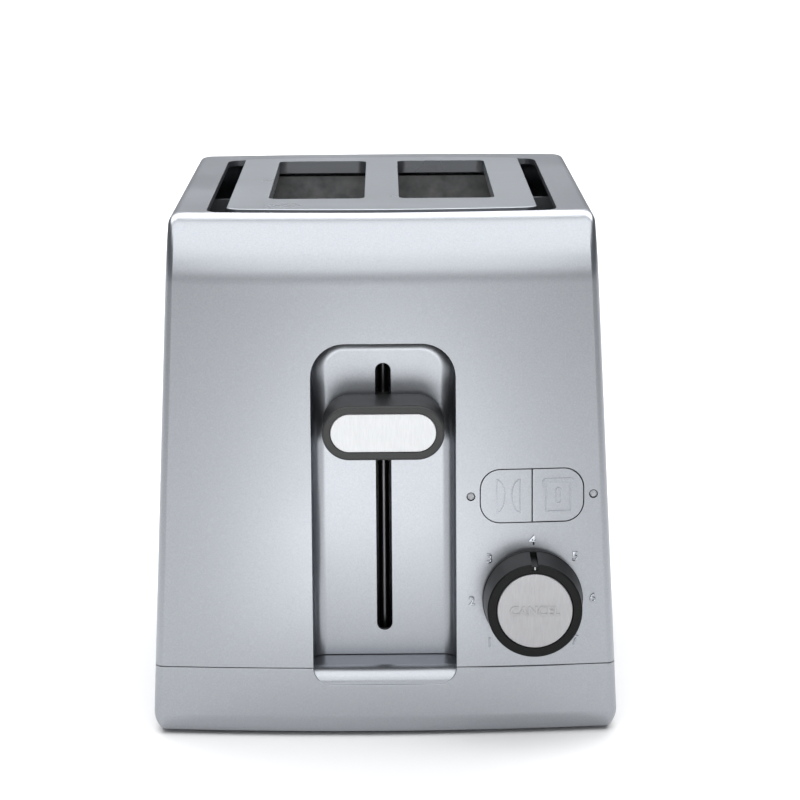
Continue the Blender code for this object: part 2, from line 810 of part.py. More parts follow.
def bread_slot(side, grow=0.0):
    """One bread slot's outline. side is -1 or 1."""
    centre = side * SLOT_CENTRE
    half = BREAD_SLOT_WIDTH / 2 + grow
    return rounded_box(
        centre - half,
        centre + half,
        BREAD_SLOT_FRONT - grow,
        BREAD_SLOT_BACK + grow,
        BREAD_SLOT_RADIUS + grow,
        steps=3,
    )


def top_slot_plate():
    outline = bowed_box(
        PLATE_HALF_WIDTH,
        WELL_FRONT + PLATE_FRONT_GAP,
        WELL_BACK - PLATE_BACK_GAP,
        TOP_OPENING_BOW,
        PLATE_RADIUS,
    )
    loops = [outline] + [bread_slot(side) for _, side in SIDES]
    plate = sheet(
        "top_slot_plate", loops, PLATE_THICKNESS, "XY", PLATE_TOP - PLATE_THICKNESS / 2, BRUSHED_SHEET
    )
    for name, side in SIDES:
        lip = sheet(
            "slot_lip_" + name,
            [bread_slot(side, LIP_THICKNESS), bread_slot(side)],
            LIP_DEPTH,
            "XY",
            PLATE_TOP - LIP_SETBACK - LIP_DEPTH / 2,
            cutter=True,
        )
        add(plate, lip)
    return plate


def rack_slot(side):
    """The upright slot that a rack's neck runs in, clear of its whole travel."""
    centre = side * SLOT_CENTRE
    half = RACK_NECK_HALF_WIDTH + RACK_SLOT_SIDE
    low = RACK_TOP - CARRIAGE_TRAVEL - RACK_THICKNESS - RACK_SLOT_BELOW
    high = RACK_TOP + CARRIAGE_BOOST + RACK_SLOT_ABOVE
    return box_loop(centre - half, centre + half, low, high)


def guide_places():
    """(name, pivot x, side of the slot that it stands on) for the four bread guides."""
    made = []
    for name, side in SIDES:
        centre = side * SLOT_CENTRE
        made.append((f"bread_guide_{name}_outer", centre + side * GUIDE_OFFSET, side))
        made.append((f"bread_guide_{name}_inner", centre - side * GUIDE_OFFSET, -side))
    return made


def chamber_end(name, y):
    """An end plate, with upright slots for the racks and holes for the guides' pivots."""
    outline = box_loop(-CHAMBER_HALF_WIDTH, CHAMBER_HALF_WIDTH, CHAMBER_END_BOTTOM, CHAMBER_END_TOP)
    loops = [outline] + [rack_slot(side) for _, side in SIDES]
    for _, x, _ in guide_places():
        loops.append(arc((x, GUIDE_PIVOT_HEIGHT), GUIDE_PIVOT_HOLE, 0, 324, 9))
    return sheet(name, loops, SHEET, "XZ", y, GALVANISED)


def chamber_sides():
    """Side heat shields, which stand on the base floor and hold the end plates between them."""
    for name, side in SIDES:
        x = side * (CHAMBER_HALF_WIDTH + GAP + SHEET / 2)
        low = FLOOR_TOP + GAP
        outline = box_loop(CHAMBER_FRONT - SHEET, CHAMBER_BACK + SHEET, low, CHAMBER_TOP)
        loops = [outline]
        span = (CHAMBER_BACK - CHAMBER_FRONT) / VENT_COLUMNS
        for i in range(VENT_COLUMNS):
            y = CHAMBER_FRONT + span * (i + 0.5)
            for z in VENT_ROWS:
                vent = box_loop(
                    y - VENT_HALF_LENGTH, y + VENT_HALF_LENGTH, z - VENT_HALF_HEIGHT, z + VENT_HALF_HEIGHT
                )
                loops.append(vent)
        sheet("chamber_side_" + name, loops, SHEET, "YZ", x, GALVANISED)


def heater_cards():
    """Mica cards that carry the heating ribbon, one each side of each slot."""
    low = CHAMBER_FRONT + SHEET / 2 + GAP
    high = CHAMBER_BACK - SHEET / 2 - GAP
    for name, side in SIDES:
        for place_name, x in (("inner", HEATER_INNER_X), ("outer", HEATER_OUTER_X)):
            outline = box_loop(low, high, HEATER_BOTTOM, HEATER_TOP)
            card = f"heater_card_{name}_{place_name}"
            sheet(card, [outline], HEATER_CARD, "YZ", side * x, MICA)


def bread_guides():
    """Grids of bars. Each turns about its lowest bar, whose ends run in the end plates."""
    low = CHAMBER_FRONT + GUIDE_END_GAP
    high = CHAMBER_BACK - GUIDE_END_GAP
    front_end = CHAMBER_FRONT - GUIDE_PIVOT_REACH
    back_end = CHAMBER_BACK + GUIDE_PIVOT_REACH
    half = GUIDE_BAR / 2
    for name, x, _ in guide_places():
        pivot = bpy.data.objects.new(name + "_pivot", None)
        PARTS.objects.link(pivot)
        place(pivot, (x, 0, GUIDE_PIVOT_HEIGHT))
        height = GUIDE_TOP - GUIDE_PIVOT_HEIGHT
        outline = [
            (high, -half),
            (back_end, -half),
            (back_end, half),
            (high, half),
            (high, height),
            (low, height),
            (low, half),
            (front_end, half),
            (front_end, -half),
            (low, -half),
        ]
        loops = [outline]
        pitch = (high - low - GUIDE_BAR) / (GUIDE_UPRIGHTS - 1)
        for i in range(GUIDE_UPRIGHTS - 1):
            left = low + GUIDE_BAR + pitch * i
            window = box_loop(left, left + pitch - GUIDE_BAR, half, height - GUIDE_BAR)
            loops.append(window)
        guide = sheet(name, loops, GUIDE_BAR, "YZ", 0, STEEL)
        guide.parent = pivot


# ---------------------------------------------------------------- carriage


def guide_rod():
    rod(
        "guide_rod",
        ROD_RADIUS,
        ROD_BOTTOM,
        BRACKET_LOW + BRACKET_THICKNESS + ROD_TAIL,
        "Z",
        (0, ROD_Y),
        16,
        STEEL,
    )


def bracket(name, low, half_width):
    """A shelf that holds one end of the guide rod off the chamber's front plate."""
    outline = box_loop(-half_width, half_width, BRACKET_FRONT, BRACKET_BACK)
    hole = arc((0, ROD_Y), ROD_RADIUS + GAP, 0, 330, 11)
    return sheet(name, [outline, hole], BRACKET_THICKNESS, "XY", low + BRACKET_THICKNESS / 2, GALVANISED)


def slider_block():
    block_part = block(
        "slider_block",
        (-SLIDER_HALF_WIDTH, SLIDER_FRONT, SLIDER_LOW),
        (SLIDER_HALF_WIDTH, SLIDER_BACK, SLIDER_HIGH),
        BLACK_PLASTIC,
    )
    bore = rod("slider_bore", ROD_RADIUS + GAP, 0.0, BODY_TOP, "Z", (0, ROD_Y), 16, cutter=True)
    bevel(block_part, SLIDER_BEVEL, 2)
    return cut(block_part, bore)


def carriage_plate():
    """Sheet cross-piece behind the slider, which carries both racks and the armature."""
    outline = box_loop(
        -CARRIAGE_PLATE_HALF_WIDTH,
        CARRIAGE_PLATE_HALF_WIDTH,
        SLIDER_LOW,
        SLIDER_HIGH - CARRIAGE_PLATE_DROP,
    )
    middle = (CARRIAGE_PLATE_FRONT + CARRIAGE_PLATE_BACK) / 2
    return sheet("carriage_plate", [outline], CARRIAGE_PLATE_THICKNESS, "XZ", middle, GALVANISED)


def bread_racks():
    """Ladder-shaped shelves under the slots. A narrow neck at each end runs in the end plates."""
    front = CARRIAGE_PLATE_BACK + GAP
    shoulder_front = CHAMBER_FRONT + RACK_SHOULDER_GAP
    shoulder_back = CHAMBER_BACK - RACK_SHOULDER_GAP
    tail = CHAMBER_BACK + RACK_TAIL
    wide, neck, bar = RACK_HALF_WIDTH, RACK_NECK_HALF_WIDTH, RACK_BAR
    for name, side in SIDES:
        x = side * SLOT_CENTRE
        outline = [
            (x + neck, front),
            (x + neck, shoulder_front),
            (x + wide, shoulder_front),
            (x + wide, shoulder_back),
            (x + neck, shoulder_back),
            (x + neck, tail),
            (x - neck, tail),
            (x - neck, shoulder_back),
            (x - wide, shoulder_back),
            (x - wide, shoulder_front),
            (x - neck, shoulder_front),
            (x - neck, front),
        ]
        loops = [outline]
        pitch = (shoulder_back - shoulder_front - bar) / RACK_WINDOWS
        for i in range(RACK_WINDOWS):
            low = shoulder_front + bar + pitch * i
            for left, right in ((-wide + bar, -bar / 2), (bar / 2, wide - bar)):
                loops.append(box_loop(x + left, x + right, low, low + pitch - bar))
        sheet(
            "bread_rack_" + name, loops, RACK_THICKNESS, "XY", RACK_TOP - RACK_THICKNESS / 2, GALVANISED
        )


def lever_arm():
    """Flat bar from the slider, out through the slot, into the knob."""
    block(
        "lever_arm",
        (-ARM_WIDTH / 2, ARM_FRONT, SLIDER_CENTRE - ARM_HEIGHT / 2),
        (ARM_WIDTH / 2, SLIDER_FRONT - GAP, SLIDER_CENTRE + ARM_HEIGHT / 2),
        GALVANISED,
    )


KNOB_FRONT = face_y(0, SLIDER_CENTRE) - KNOB_PROUD
KNOB_BACK = RECESS_FLOOR - KNOB_FLOOR_GAP
ARM_FRONT = KNOB_BACK - ARM_IN_KNOB


def pill(half_width, half_height, steps=8):
    """A bar with round ends, anticlockwise."""
    straight = half_width - half_height
    centre = SLIDER_CENTRE
    outline = arc((straight, centre), half_height, -90, 90, steps)
    return outline + arc((-straight, centre), half_height, 90, 270, steps)


def lever_knob():
    depth = KNOB_BACK - KNOB_FRONT
    knob = sheet(
        "lever_knob",
        [pill(KNOB_HALF_WIDTH, KNOB_HALF_HEIGHT)],
        depth,
        "XZ",
        (KNOB_FRONT + KNOB_BACK) / 2,
        DARK_PLASTIC,
    )
    bevel(knob, KNOB_BEVEL, 2)
    socket = block(
        "knob_socket",
        (-ARM_WIDTH / 2 - GAP, ARM_FRONT - GAP, SLIDER_CENTRE - ARM_HEIGHT / 2 - GAP),
        (ARM_WIDTH / 2 + GAP, KNOB_BACK + PAST, SLIDER_CENTRE + ARM_HEIGHT / 2 + GAP),
        cutter=True,
    )
    face = sheet(
        "knob_face_pocket",
        [pill(KNOB_HALF_WIDTH - KNOB_RIM, KNOB_HALF_HEIGHT - KNOB_RIM)],
        2 * (INSERT_THICKNESS + GAP),
        "XZ",
        KNOB_FRONT,
        cutter=True,
    )
    cut(knob, socket, face)
    smooth(knob)
    rim = KNOB_RIM + GAP
    insert = sheet(
        "knob_insert",
        [pill(KNOB_HALF_WIDTH - rim, KNOB_HALF_HEIGHT - rim)],
        INSERT_THICKNESS,
        "XZ",
        KNOB_FRONT + INSERT_THICKNESS / 2,
        LIGHT_SATIN,
    )
    smooth(insert)


def spring_points(low, high):
    """A close helix with a short straight tail at each end."""
    per_turn = 8
    count = SPRING_TURNS * per_turn
    tail = SPRING_TAIL
    points = [(0, 0, low)]
    for i in range(count + 1):
        angle = 2 * math.pi * i / per_turn
        height = low + tail + (high - low - 2 * tail) * i / count
        points.append((SPRING_RADIUS * math.cos(angle), SPRING_RADIUS * math.sin(angle), height))
    points.append((0, 0, high))
    return points


def return_spring():
    """Extension spring from the slider's ear up to the top bracket."""
    curve = bpy.data.curves.new("return_spring", "CURVE")
    curve.dimensions = "3D"
    curve.bevel_depth = SPRING_WIRE
    curve.bevel_resolution = 1
    curve.use_fill_caps = True
    points = spring_points(SLIDER_HIGH + GAP, BRACKET_LOW - GAP)
    spline = curve.splines.new("POLY")
    spline.points.add(len(points) - 1)
    for point, place_at in zip(spline.points, points):
        point.co = (*place_at, 1.0)
    curve.materials.append(STEEL)
    obj = bpy.data.objects.new("return_spring", curve)
    PARTS.objects.link(obj)
    place(obj, (SPRING_X, ROD_Y, 0))


def armature_and_magnet():
    """The soft-iron plate on the carriage, and the magnet that holds it down while toasting."""
    arm_low = MAGNET_TOP + CARRIAGE_TRAVEL + GAP
    half = CORE_WIDTH / 2
    block(
        "latch_armature",
        (MAGNET_X - half, ROD_Y - CORE_DEPTH / 2, arm_low),
        (MAGNET_X + half, CARRIAGE_PLATE_FRONT - GAP, arm_low + ARMATURE_THICKNESS),
        STEEL,
    )
    low = FLOOR_TOP + GAP
    core_outline = [
        (MAGNET_X + half, low),
        (MAGNET_X + half, MAGNET_TOP),
        (MAGNET_X + half - CORE_LEG, MAGNET_TOP),
        (MAGNET_X + half - CORE_LEG, low + CORE_LEG),
        (MAGNET_X - half + CORE_LEG, low + CORE_LEG),
        (MAGNET_X - half + CORE_LEG, MAGNET_TOP),
        (MAGNET_X - half, MAGNET_TOP),
        (MAGNET_X - half, low),
    ]
    sheet("magnet_core", [core_outline], CORE_DEPTH, "XZ", ROD_Y, STEEL)
    inner = CORE_LEG / 2 + COIL_CLEARANCE
    outer = inner + COIL_WALL
    coil_x = MAGNET_X - half + CORE_LEG / 2
    deep, bore = COIL_HALF_DEPTH, COIL_BORE_HALF_DEPTH
    middle = low + CORE_LEG + GAP + COIL_HEIGHT / 2
    coil = sheet(
        "magnet_coil",
        [
            rounded_box(coil_x - outer, coil_x + outer, ROD_Y - deep, ROD_Y + deep, COIL_CORNER, steps=3),
            box_loop(coil_x - inner, coil_x + inner, ROD_Y - bore, ROD_Y + bore),
        ],
        COIL_HEIGHT,
        "XY",
        middle,
        COPPER,
    )
    return coil


# ---------------------------------------------------------------- controls

# The face is bowed, so the ring's back clears it at its edge nearest the middle.
DIAL_BACK = face_y(DIAL_X - DIAL_RADIUS, DIAL_Z - DIAL_RADIUS) - DIAL_FACE_GAP
DIAL_TIP = DIAL_BACK - DIAL_HEIGHT


def control_board():
    outline = box_loop(BOARD_LEFT, BOARD_RIGHT, BOARD_BOTTOM, BOARD_TOP)
    middle = BOARD_FRONT + BOARD_THICKNESS / 2
    sheet("control_board", [outline], BOARD_THICKNESS, "XZ", middle, BOARD_GREEN)


def button_places():
    """(name, left edge, right edge) of the two push buttons, which share one opening."""
    half = BUTTONS_WIDTH / 2
    return (
        ("bagel_button", BUTTONS_X - half, BUTTONS_X - BUTTON_SPLIT),
        ("defrost_button", BUTTONS_X + BUTTON_SPLIT, BUTTONS_X + half),
    )


def switch(name, x, z):
    """A square tact switch on the board, with its round plunger."""
    half = SWITCH_SIZE / 2
    body = block(
        name, (x - half, SWITCH_FRONT, z - half), (x + half, BOARD_FRONT - GAP, z + half), BLACK_PLASTIC
    )
    root = SWITCH_FRONT + PLUNGER_REACH
    plunger = rod(
        name + "_plunger", PLUNGER_RADIUS, SWITCH_TIP, root, "Y", (x, z), 12, cutter=True
    )
    return add(body, plunger)


def push_buttons():
    low = BUTTONS_Z - BUTTONS_HEIGHT / 2
    high = BUTTONS_Z + BUTTONS_HEIGHT / 2
    round_ = BUTTONS_RADIUS
    for name, left, right in button_places():
        middle = (left + right) / 2
        front = face_y(middle, BUTTONS_Z) - BUTTON_PROUD
        back = front + BUTTON_THICKNESS
        if name == "bagel_button":
            outline = [(right, low), (right, high)]
            outline += arc((left + round_, high - round_), round_, 90, 180, 5)
            outline += arc((left + round_, low + round_), round_, 180, 270, 5)
        else:
            outline = arc((right - round_, low + round_), round_, -90, 0, 5)
            outline += arc((right - round_, high - round_), round_, 0, 90, 5)
            outline += [(left, high), (left, low)]
        button = sheet(name, [outline], back - front, "XZ", (front + back) / 2, SILVER_PAINT)
        stem_end = SWITCH_TIP - BUTTON_TRAVEL - GAP
        stem = rod(
            name + "_stem",
            BUTTON_STEM_RADIUS,
            back - BUTTON_THICKNESS / 3,
            stem_end,
            "Y",
            (middle, BUTTONS_Z),
            10,
            cutter=True,
        )
        add(button, stem)
        switch(name.replace("_button", "_switch"), middle, BUTTONS_Z)


def light_pipes():
    for (name, _), x in zip(SIDES, LIGHTS_X):
        front = face_y(x, BUTTONS_Z) - LIGHT_PROUD
        shoulder = face_y(x, BUTTONS_Z) + WALL + LIGHT_SHOULDER + GAP
        back = BOARD_FRONT - GAP
        profile = [
            (0.0, -front),
            (LIGHT_RADIUS * 0.7, -front),
            (LIGHT_RADIUS, -front - LIGHT_EDGE),
            (LIGHT_RADIUS, -shoulder),
            (LIGHT_RADIUS + LIGHT_SHOULDER, -shoulder),
            (LIGHT_RADIUS + LIGHT_SHOULDER, -back),
            (0.0, -back),
        ]
        turned("light_pipe_" + name, profile, 12, CLEAR_LIGHT, (x, 0, BUTTONS_Z), "-Y")


def dial_assembly():
    """The ring turns, its hub in a hollow track on the board. The centre cap pushes in."""
    tip = -DIAL_TIP
    base = -DIAL_BACK
    pocket = tip - CAP_THICKNESS - CAP_TRAVEL - CAP_POCKET_GAP
    hub_end = -(TRACK_FRONT + HUB_ENTRY)
    profile = [
        (CAP_RADIUS + GAP, tip),
        (DIAL_FRONT_RADIUS - DIAL_FRONT_EDGE, tip),
        (DIAL_FRONT_RADIUS, tip - DIAL_FRONT_EDGE),
        (DIAL_RADIUS, base + DIAL_BACK_EDGE),
        (DIAL_RADIUS - DIAL_BACK_EDGE, base),
        (DIAL_HUB_RADIUS, base),
        (DIAL_HUB_RADIUS, hub_end),
        (DIAL_BORE_RADIUS, hub_end),
        (DIAL_BORE_RADIUS, pocket),
        (CAP_RADIUS + GAP, pocket),
    ]
    axis = bpy.data.objects.new("dial_axis", None)
    PARTS.objects.link(axis)
    place(axis, (DIAL_X, 0, DIAL_Z))
    ring = turned("dial_ring", profile, 40, BLACK_PLASTIC, (0, 0, 0), "-Y", closed=True)
    ring.parent = axis
    notch = block(
        "pointer_groove",
        (DIAL_X - POINTER_WIDTH / 2, DIAL_TIP - PAST, DIAL_Z + CAP_RADIUS + POINTER_INNER_GAP),
        (DIAL_X + POINTER_WIDTH / 2, DIAL_TIP + POINTER_DEPTH, DIAL_Z + DIAL_RADIUS + PAST),
        cutter=True,
    )
    cut(ring, notch)
    stem_end = -(SWITCH_TIP - CAP_TRAVEL - GAP)
    cap_profile = [
        (0.0, tip + CAP_DOME),
        (CAP_RADIUS * 0.6, tip + CAP_DOME / 2),
        (CAP_RADIUS - CAP_EDGE, tip - CAP_DOME / 3),
        (CAP_RADIUS, tip - CAP_DOME / 3 - CAP_EDGE),
        (CAP_RADIUS, tip - CAP_THICKNESS),
        (CAP_STEM_RADIUS, tip - CAP_THICKNESS),
        (CAP_STEM_RADIUS, stem_end),
        (0.0, stem_end),
    ]
    turned("cancel_button", cap_profile, 40, LIGHT_SATIN, (DIAL_X, 0, DIAL_Z), "-Y")
    switch("cancel_switch", DIAL_X, DIAL_Z)
    track_back = -(BOARD_FRONT - GAP)
    rotor = DIAL_HUB_RADIUS + GAP
    track = [
        (TRACK_RADIUS, -TRACK_FRONT),
        (TRACK_RADIUS, track_back),
        (rotor, track_back),
        (rotor, -TRACK_FRONT),
    ]
    turned("dial_track", track, 24, BLACK_PLASTIC, (DIAL_X, 0, DIAL_Z), "-Y", closed=True)


def board_components():
    """The parts on the back of the board, and the wiring block at the rear."""
    back = BOARD_FRONT + BOARD_THICKNESS + GAP
    left, low = RELAY_LEFT_LOW
    right, high = RELAY_RIGHT_HIGH
    block("relay", (left, back, low), (right, back + RELAY_DEPTH, high), BLACK_PLASTIC)
    profile = [
        (0.0, CAPACITOR_HEIGHT),
        (CAPACITOR_RADIUS - CAPACITOR_EDGE, CAPACITOR_HEIGHT),
        (CAPACITOR_RADIUS, CAPACITOR_HEIGHT - CAPACITOR_EDGE),
        (CAPACITOR_RADIUS, 0.0),
        (0.0, 0.0),
    ]
    x, z = CAPACITOR_PLACE
    turned("capacitor", profile, 16, BLACK_PLASTIC, (x, back, z), "Y")
    terminals = block(
        "terminal_block",
        (*TERMINAL_LEFT_FRONT, FLOOR_TOP + GAP),
        (*TERMINAL_RIGHT_BACK, TERMINAL_TOP),
        CERAMIC,
    )
    bevel(terminals, TERMINAL_BEVEL, 1)


def contact_block():
    """Supply contacts, closed by the carriage plate at the bottom of its travel."""
    block(
        "contact_block",
        (CONTACT_LEFT, ROD_Y - CONTACT_HALF_DEPTH, FLOOR_TOP + GAP),
        (CONTACT_RIGHT, ROD_Y + CONTACT_HALF_DEPTH, MAGNET_TOP),
        CERAMIC,
    )


# ---------------------------------------------------------------- rear and crumb tray


def rear_y(x, z):
    """Where the rear face is, at a place on it."""
    return -face_y(x, z)


def cord_gland():
    """A split-proof bush in the rear skirt, flanged both sides of the wall, open through."""
    reach = GLAND_FLANGE_RADIUS
    out = rear_y(GLAND_X - reach, GLAND_Z - reach) + GAP
    tip = out + GLAND_FLANGE
    inner = rear_y(GLAND_X + reach, GLAND_Z + reach) - WALL - BASE_EDGE_INSET - GAP
    back = inner - GLAND_INNER_FLANGE
    profile = [
        (GLAND_BORE_RADIUS, tip),
        (GLAND_FLANGE_RADIUS - GLAND_EDGE, tip),
        (GLAND_FLANGE_RADIUS, tip - GLAND_EDGE),
        (GLAND_FLANGE_RADIUS, out),
        (GLAND_RADIUS, out),
        (GLAND_RADIUS, inner),
        (GLAND_INNER_RADIUS, inner),
        (GLAND_INNER_RADIUS, back),
        (GLAND_BORE_RADIUS, back),
    ]
    turned("cord_gland", profile, 20, BLACK_PLASTIC, (GLAND_X, 0, GLAND_Z), "Y", closed=True)


def crumb_tray():
    """A shallow pan on the base floor under the chamber, with its handle closing the mouth."""
    back = rear_y(TRAY_HALF_WIDTH, GLAND_Z) - WALL
    pan = block(
        "crumb_tray",
        (-TRAY_HALF_WIDTH, TRAY_FRONT, TRAY_BOTTOM),
        (TRAY_HALF_WIDTH, back, TRAY_BOTTOM + TRAY_HEIGHT),
        GALVANISED,
    )
    hollow = block(
        "tray_hollow",
        (-TRAY_HALF_WIDTH + TRAY_SHEET, TRAY_FRONT + TRAY_SHEET, TRAY_BOTTOM + TRAY_SHEET),
        (TRAY_HALF_WIDTH - TRAY_SHEET, back - TRAY_SHEET, TRAY_BOTTOM + TRAY_HEIGHT + PAST),
        cutter=True,
    )
    cut(pan, hollow)
    low = TRAY_MOUTH_LOW + GAP
    high = TRAY_MOUTH_LOW + TRAY_MOUTH_HEIGHT - GAP
    half = TRAY_HALF_WIDTH + TRAY_SIDE_GAP - GAP
    xs = [-half + 2 * half * i / HANDLE_STEPS for i in range(HANDLE_STEPS + 1)]
    outer = [(x, rear_y(x, GLAND_Z) + HANDLE_PROUD) for x in reversed(xs)]
    inner_y = back + GAP
    outline = [(-half, inner_y), (half, inner_y)] + outer
    handle = sheet("crumb_tray_handle", [outline], high - low, "XY", (low + high) / 2, SILVER_PAINT)
    grip_high = high - TRAY_GRIP_DROP
    grip = block(
        "tray_grip",
        (-TRAY_GRIP_HALF_WIDTH, BODY_HALF_LENGTH - WALL / 2, grip_high - TRAY_GRIP_HEIGHT),
        (TRAY_GRIP_HALF_WIDTH, BODY_HALF_LENGTH + TRAY_GRIP_DEPTH, grip_high),
        cutter=True,
    )
    add(handle, grip)


# ---------------------------------------------------------------- assembly

outer_housing()
base_shell()
base_screws()
rubber_feet()
top_slot_plate()
chamber_end("chamber_front_plate", CHAMBER_FRONT)
chamber_end("chamber_rear_plate", CHAMBER_BACK)
chamber_sides()
heater_cards()
bread_guides()
guide_rod()
bracket("rod_top_bracket", BRACKET_LOW, BRACKET_HALF_WIDTH)
slider_block()
carriage_plate()
bread_racks()
lever_arm()
lever_knob()
return_spring()
armature_and_magnet()
contact_block()
control_board()
push_buttons()
light_pipes()
dial_assembly()
board_components()
cord_gland()
crumb_tray()

# The origin goes under the middle of the overall box: dial at the front, tray grip at the rear.
FRONT_REACH = -DIAL_TIP + CAP_DOME
REAR_REACH = BODY_HALF_LENGTH + TRAY_GRIP_DEPTH
FRAME.location = (0, (FRONT_REACH - REAR_REACH) / 2, 0)
bpy.context.view_layer.update()
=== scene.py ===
# %% [markdown]
# # A two-slot pop-up toaster, finished around its working frame
#
# The working model of the toaster - its real sizes, its joints, every inner part - is made
# elsewhere and arrives here as a fixed frame. This lesson builds the looks around that
# frame: the painted shell with its rolled top, the pressed slot plate, the lever, the dial
# and the wires inside, each with a finish that holds up close to.
#
# Everything is in metres. The front of the toaster faces -Y and +Z is up.

# %% Load the frame
import json
import math

import bmesh
import bpy
from mathutils import Matrix, Vector


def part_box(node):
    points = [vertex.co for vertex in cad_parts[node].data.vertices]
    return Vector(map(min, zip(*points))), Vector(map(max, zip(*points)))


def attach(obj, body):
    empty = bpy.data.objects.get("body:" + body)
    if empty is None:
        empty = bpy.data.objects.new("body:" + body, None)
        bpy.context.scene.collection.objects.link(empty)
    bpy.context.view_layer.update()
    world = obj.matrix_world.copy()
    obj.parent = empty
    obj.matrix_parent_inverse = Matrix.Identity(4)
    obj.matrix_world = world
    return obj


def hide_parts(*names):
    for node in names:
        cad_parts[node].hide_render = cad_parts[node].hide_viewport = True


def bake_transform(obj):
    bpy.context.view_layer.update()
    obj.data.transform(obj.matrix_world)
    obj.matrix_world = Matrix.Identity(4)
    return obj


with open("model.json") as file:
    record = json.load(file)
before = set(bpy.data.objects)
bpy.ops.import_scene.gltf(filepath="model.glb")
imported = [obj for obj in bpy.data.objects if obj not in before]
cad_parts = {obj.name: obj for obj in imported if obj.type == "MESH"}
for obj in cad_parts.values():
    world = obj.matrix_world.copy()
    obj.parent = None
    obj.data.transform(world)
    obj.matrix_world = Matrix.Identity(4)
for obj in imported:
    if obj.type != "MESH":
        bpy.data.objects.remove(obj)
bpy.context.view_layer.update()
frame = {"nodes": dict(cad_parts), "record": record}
NODES = frame["nodes"]

# %% [markdown]
# ## Reading sizes from the frame
#
# A piece that stands for a working part has to be its size and in its place, so places come
# from the boxes of the frame's own nodes. What a box can't say - how far a side leans, how
# much an end bows - is a named value here. `face_y` answers the question that comes up most
# on this toaster: where is the bowed, leaning front face at a given place on it?

# %% Sizes read from the frame, and the body's form
HOUSING_LOW, HOUSING_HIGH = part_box("outer_housing")
BASE_LOW, BASE_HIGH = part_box("base_shell")
MIDDLE_Y = (HOUSING_LOW.y + HOUSING_HIGH.y) / 2
SEAM = HOUSING_LOW.z
TOP = HOUSING_HIGH.z
HALF_WIDTH = HOUSING_HIGH.x
HALF_LENGTH = (HOUSING_HIGH.y - HOUSING_LOW.y) / 2
SIDE_DRAFT = math.tan(math.radians(2.5))
END_DRAFT = math.tan(math.radians(1.5))
END_BOW = 0.0055
CORNER_RADIUS = 0.005
ROLL_HEIGHT = 0.026
ROLL_DEPTH = 0.019
SIDE_EDGE = 0.004
WALL = 0.0025
MM = 0.001


def half_width_at(z):
    return HALF_WIDTH - (z - SEAM) * SIDE_DRAFT


def half_length_at(z):
    return HALF_LENGTH - (z - SEAM) * END_DRAFT


def face_y(x, z):
    """Where the front face is at a place on it: it leans back, and bows forward in the middle."""
    return MIDDLE_Y - half_length_at(z) + END_BOW * (x / half_width_at(z)) ** 2


def centre_of(node):
    low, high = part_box(node)
    return (low + high) / 2


print(f"body {2000 * HALF_WIDTH:.1f} mm wide and {2000 * HALF_LENGTH:.1f} mm long at the seam")

# %% [markdown]
# ## A few hand tools
#
# Modelling by operator has a rhythm: add something, go into edit mode, pick faces or edges
# by where they are, run the operator, come out again. These helpers keep that rhythm short.
# Everything is deselected first, because an operator acts on all that is selected, and the
# frame's own nodes arrive selected.

# %% Helpers for modelling with operators


def clear_selection():
    if bpy.context.mode != "OBJECT":
        bpy.ops.object.mode_set(mode="OBJECT")
    bpy.ops.object.select_all(action="DESELECT")


def take(obj):
    """Make obj the only selected and active object."""
    clear_selection()
    obj.select_set(True)
    bpy.context.view_layer.objects.active = obj
    return obj


def added(name):
    """Name the primitive that was just added, and put its place into its mesh."""
    obj = bpy.context.active_object
    obj.name = obj.data.name = name
    take(obj)
    bpy.ops.object.transform_apply(location=True, rotation=True, scale=True)
    return obj


def edit(mode="FACE"):
    bpy.ops.object.mode_set(mode="EDIT")
    bpy.ops.mesh.select_mode(type=mode)
    bpy.ops.mesh.select_all(action="DESELECT")


def done():
    bpy.ops.object.mode_set(mode="OBJECT")


def pick(obj, kind, test):
    """Select, in edit mode, the faces, edges or verts that pass a test of place and normal."""
    bm = bmesh.from_edit_mesh(obj.data)
    found = 0
    for item in getattr(bm, kind):
        if test(item):
            item.select_set(True)
            found += 1
    bmesh.update_edit_mesh(obj.data)
    return found


def middle(item):
    """The middle of a face or an edge."""
    if isinstance(item, bmesh.types.BMFace):
        return item.calc_center_median()
    if isinstance(item, bmesh.types.BMEdge):
        return (item.verts[0].co + item.verts[1].co) / 2
    return item.co


def edit_all(mode="FACE"):
    edit(mode)
    bpy.ops.mesh.select_all(action="SELECT")


def extrude(x=0.0, y=0.0, z=0.0):
    bpy.ops.mesh.extrude_region_move(TRANSFORM_OT_translate={"value": (x, y, z)})


def close_open_edges():
    edit("EDGE")
    bpy.ops.mesh.select_non_manifold()
    bpy.ops.mesh.edge_face_add()
    done()


def apply_all(obj):
    take(obj)
    for modifier in list(obj.modifiers):
        bpy.ops.object.modifier_apply(modifier=modifier.name)
    return obj


def combine(obj, other, operation="DIFFERENCE"):
    """Cut, or join, obj with another mesh, and remove the other."""
    step = obj.modifiers.new("combine", "BOOLEAN")
    step.operation = operation
    step.solver = "EXACT"
    step.object = other
    apply_all(obj)
    bpy.data.objects.remove(other)
    return obj


def copied(obj, name, move=(0, 0, 0)):
    """A copy with its own mesh, moved, with its place in its mesh."""
    made = obj.copy()
    made.data = obj.data.copy()
    made.name = made.data.name = name
    bpy.context.scene.collection.objects.link(made)
    made.data.transform(Matrix.Translation(move))
    return made


def tidy(obj, distance=0.00001):
    """Merge doubled points and turn every face outwards."""
    take(obj)
    edit()
    bpy.ops.mesh.select_all(action="SELECT")
    bpy.ops.mesh.remove_doubles(threshold=distance)
    bpy.ops.mesh.normals_make_consistent(inside=False)
    done()
    return obj


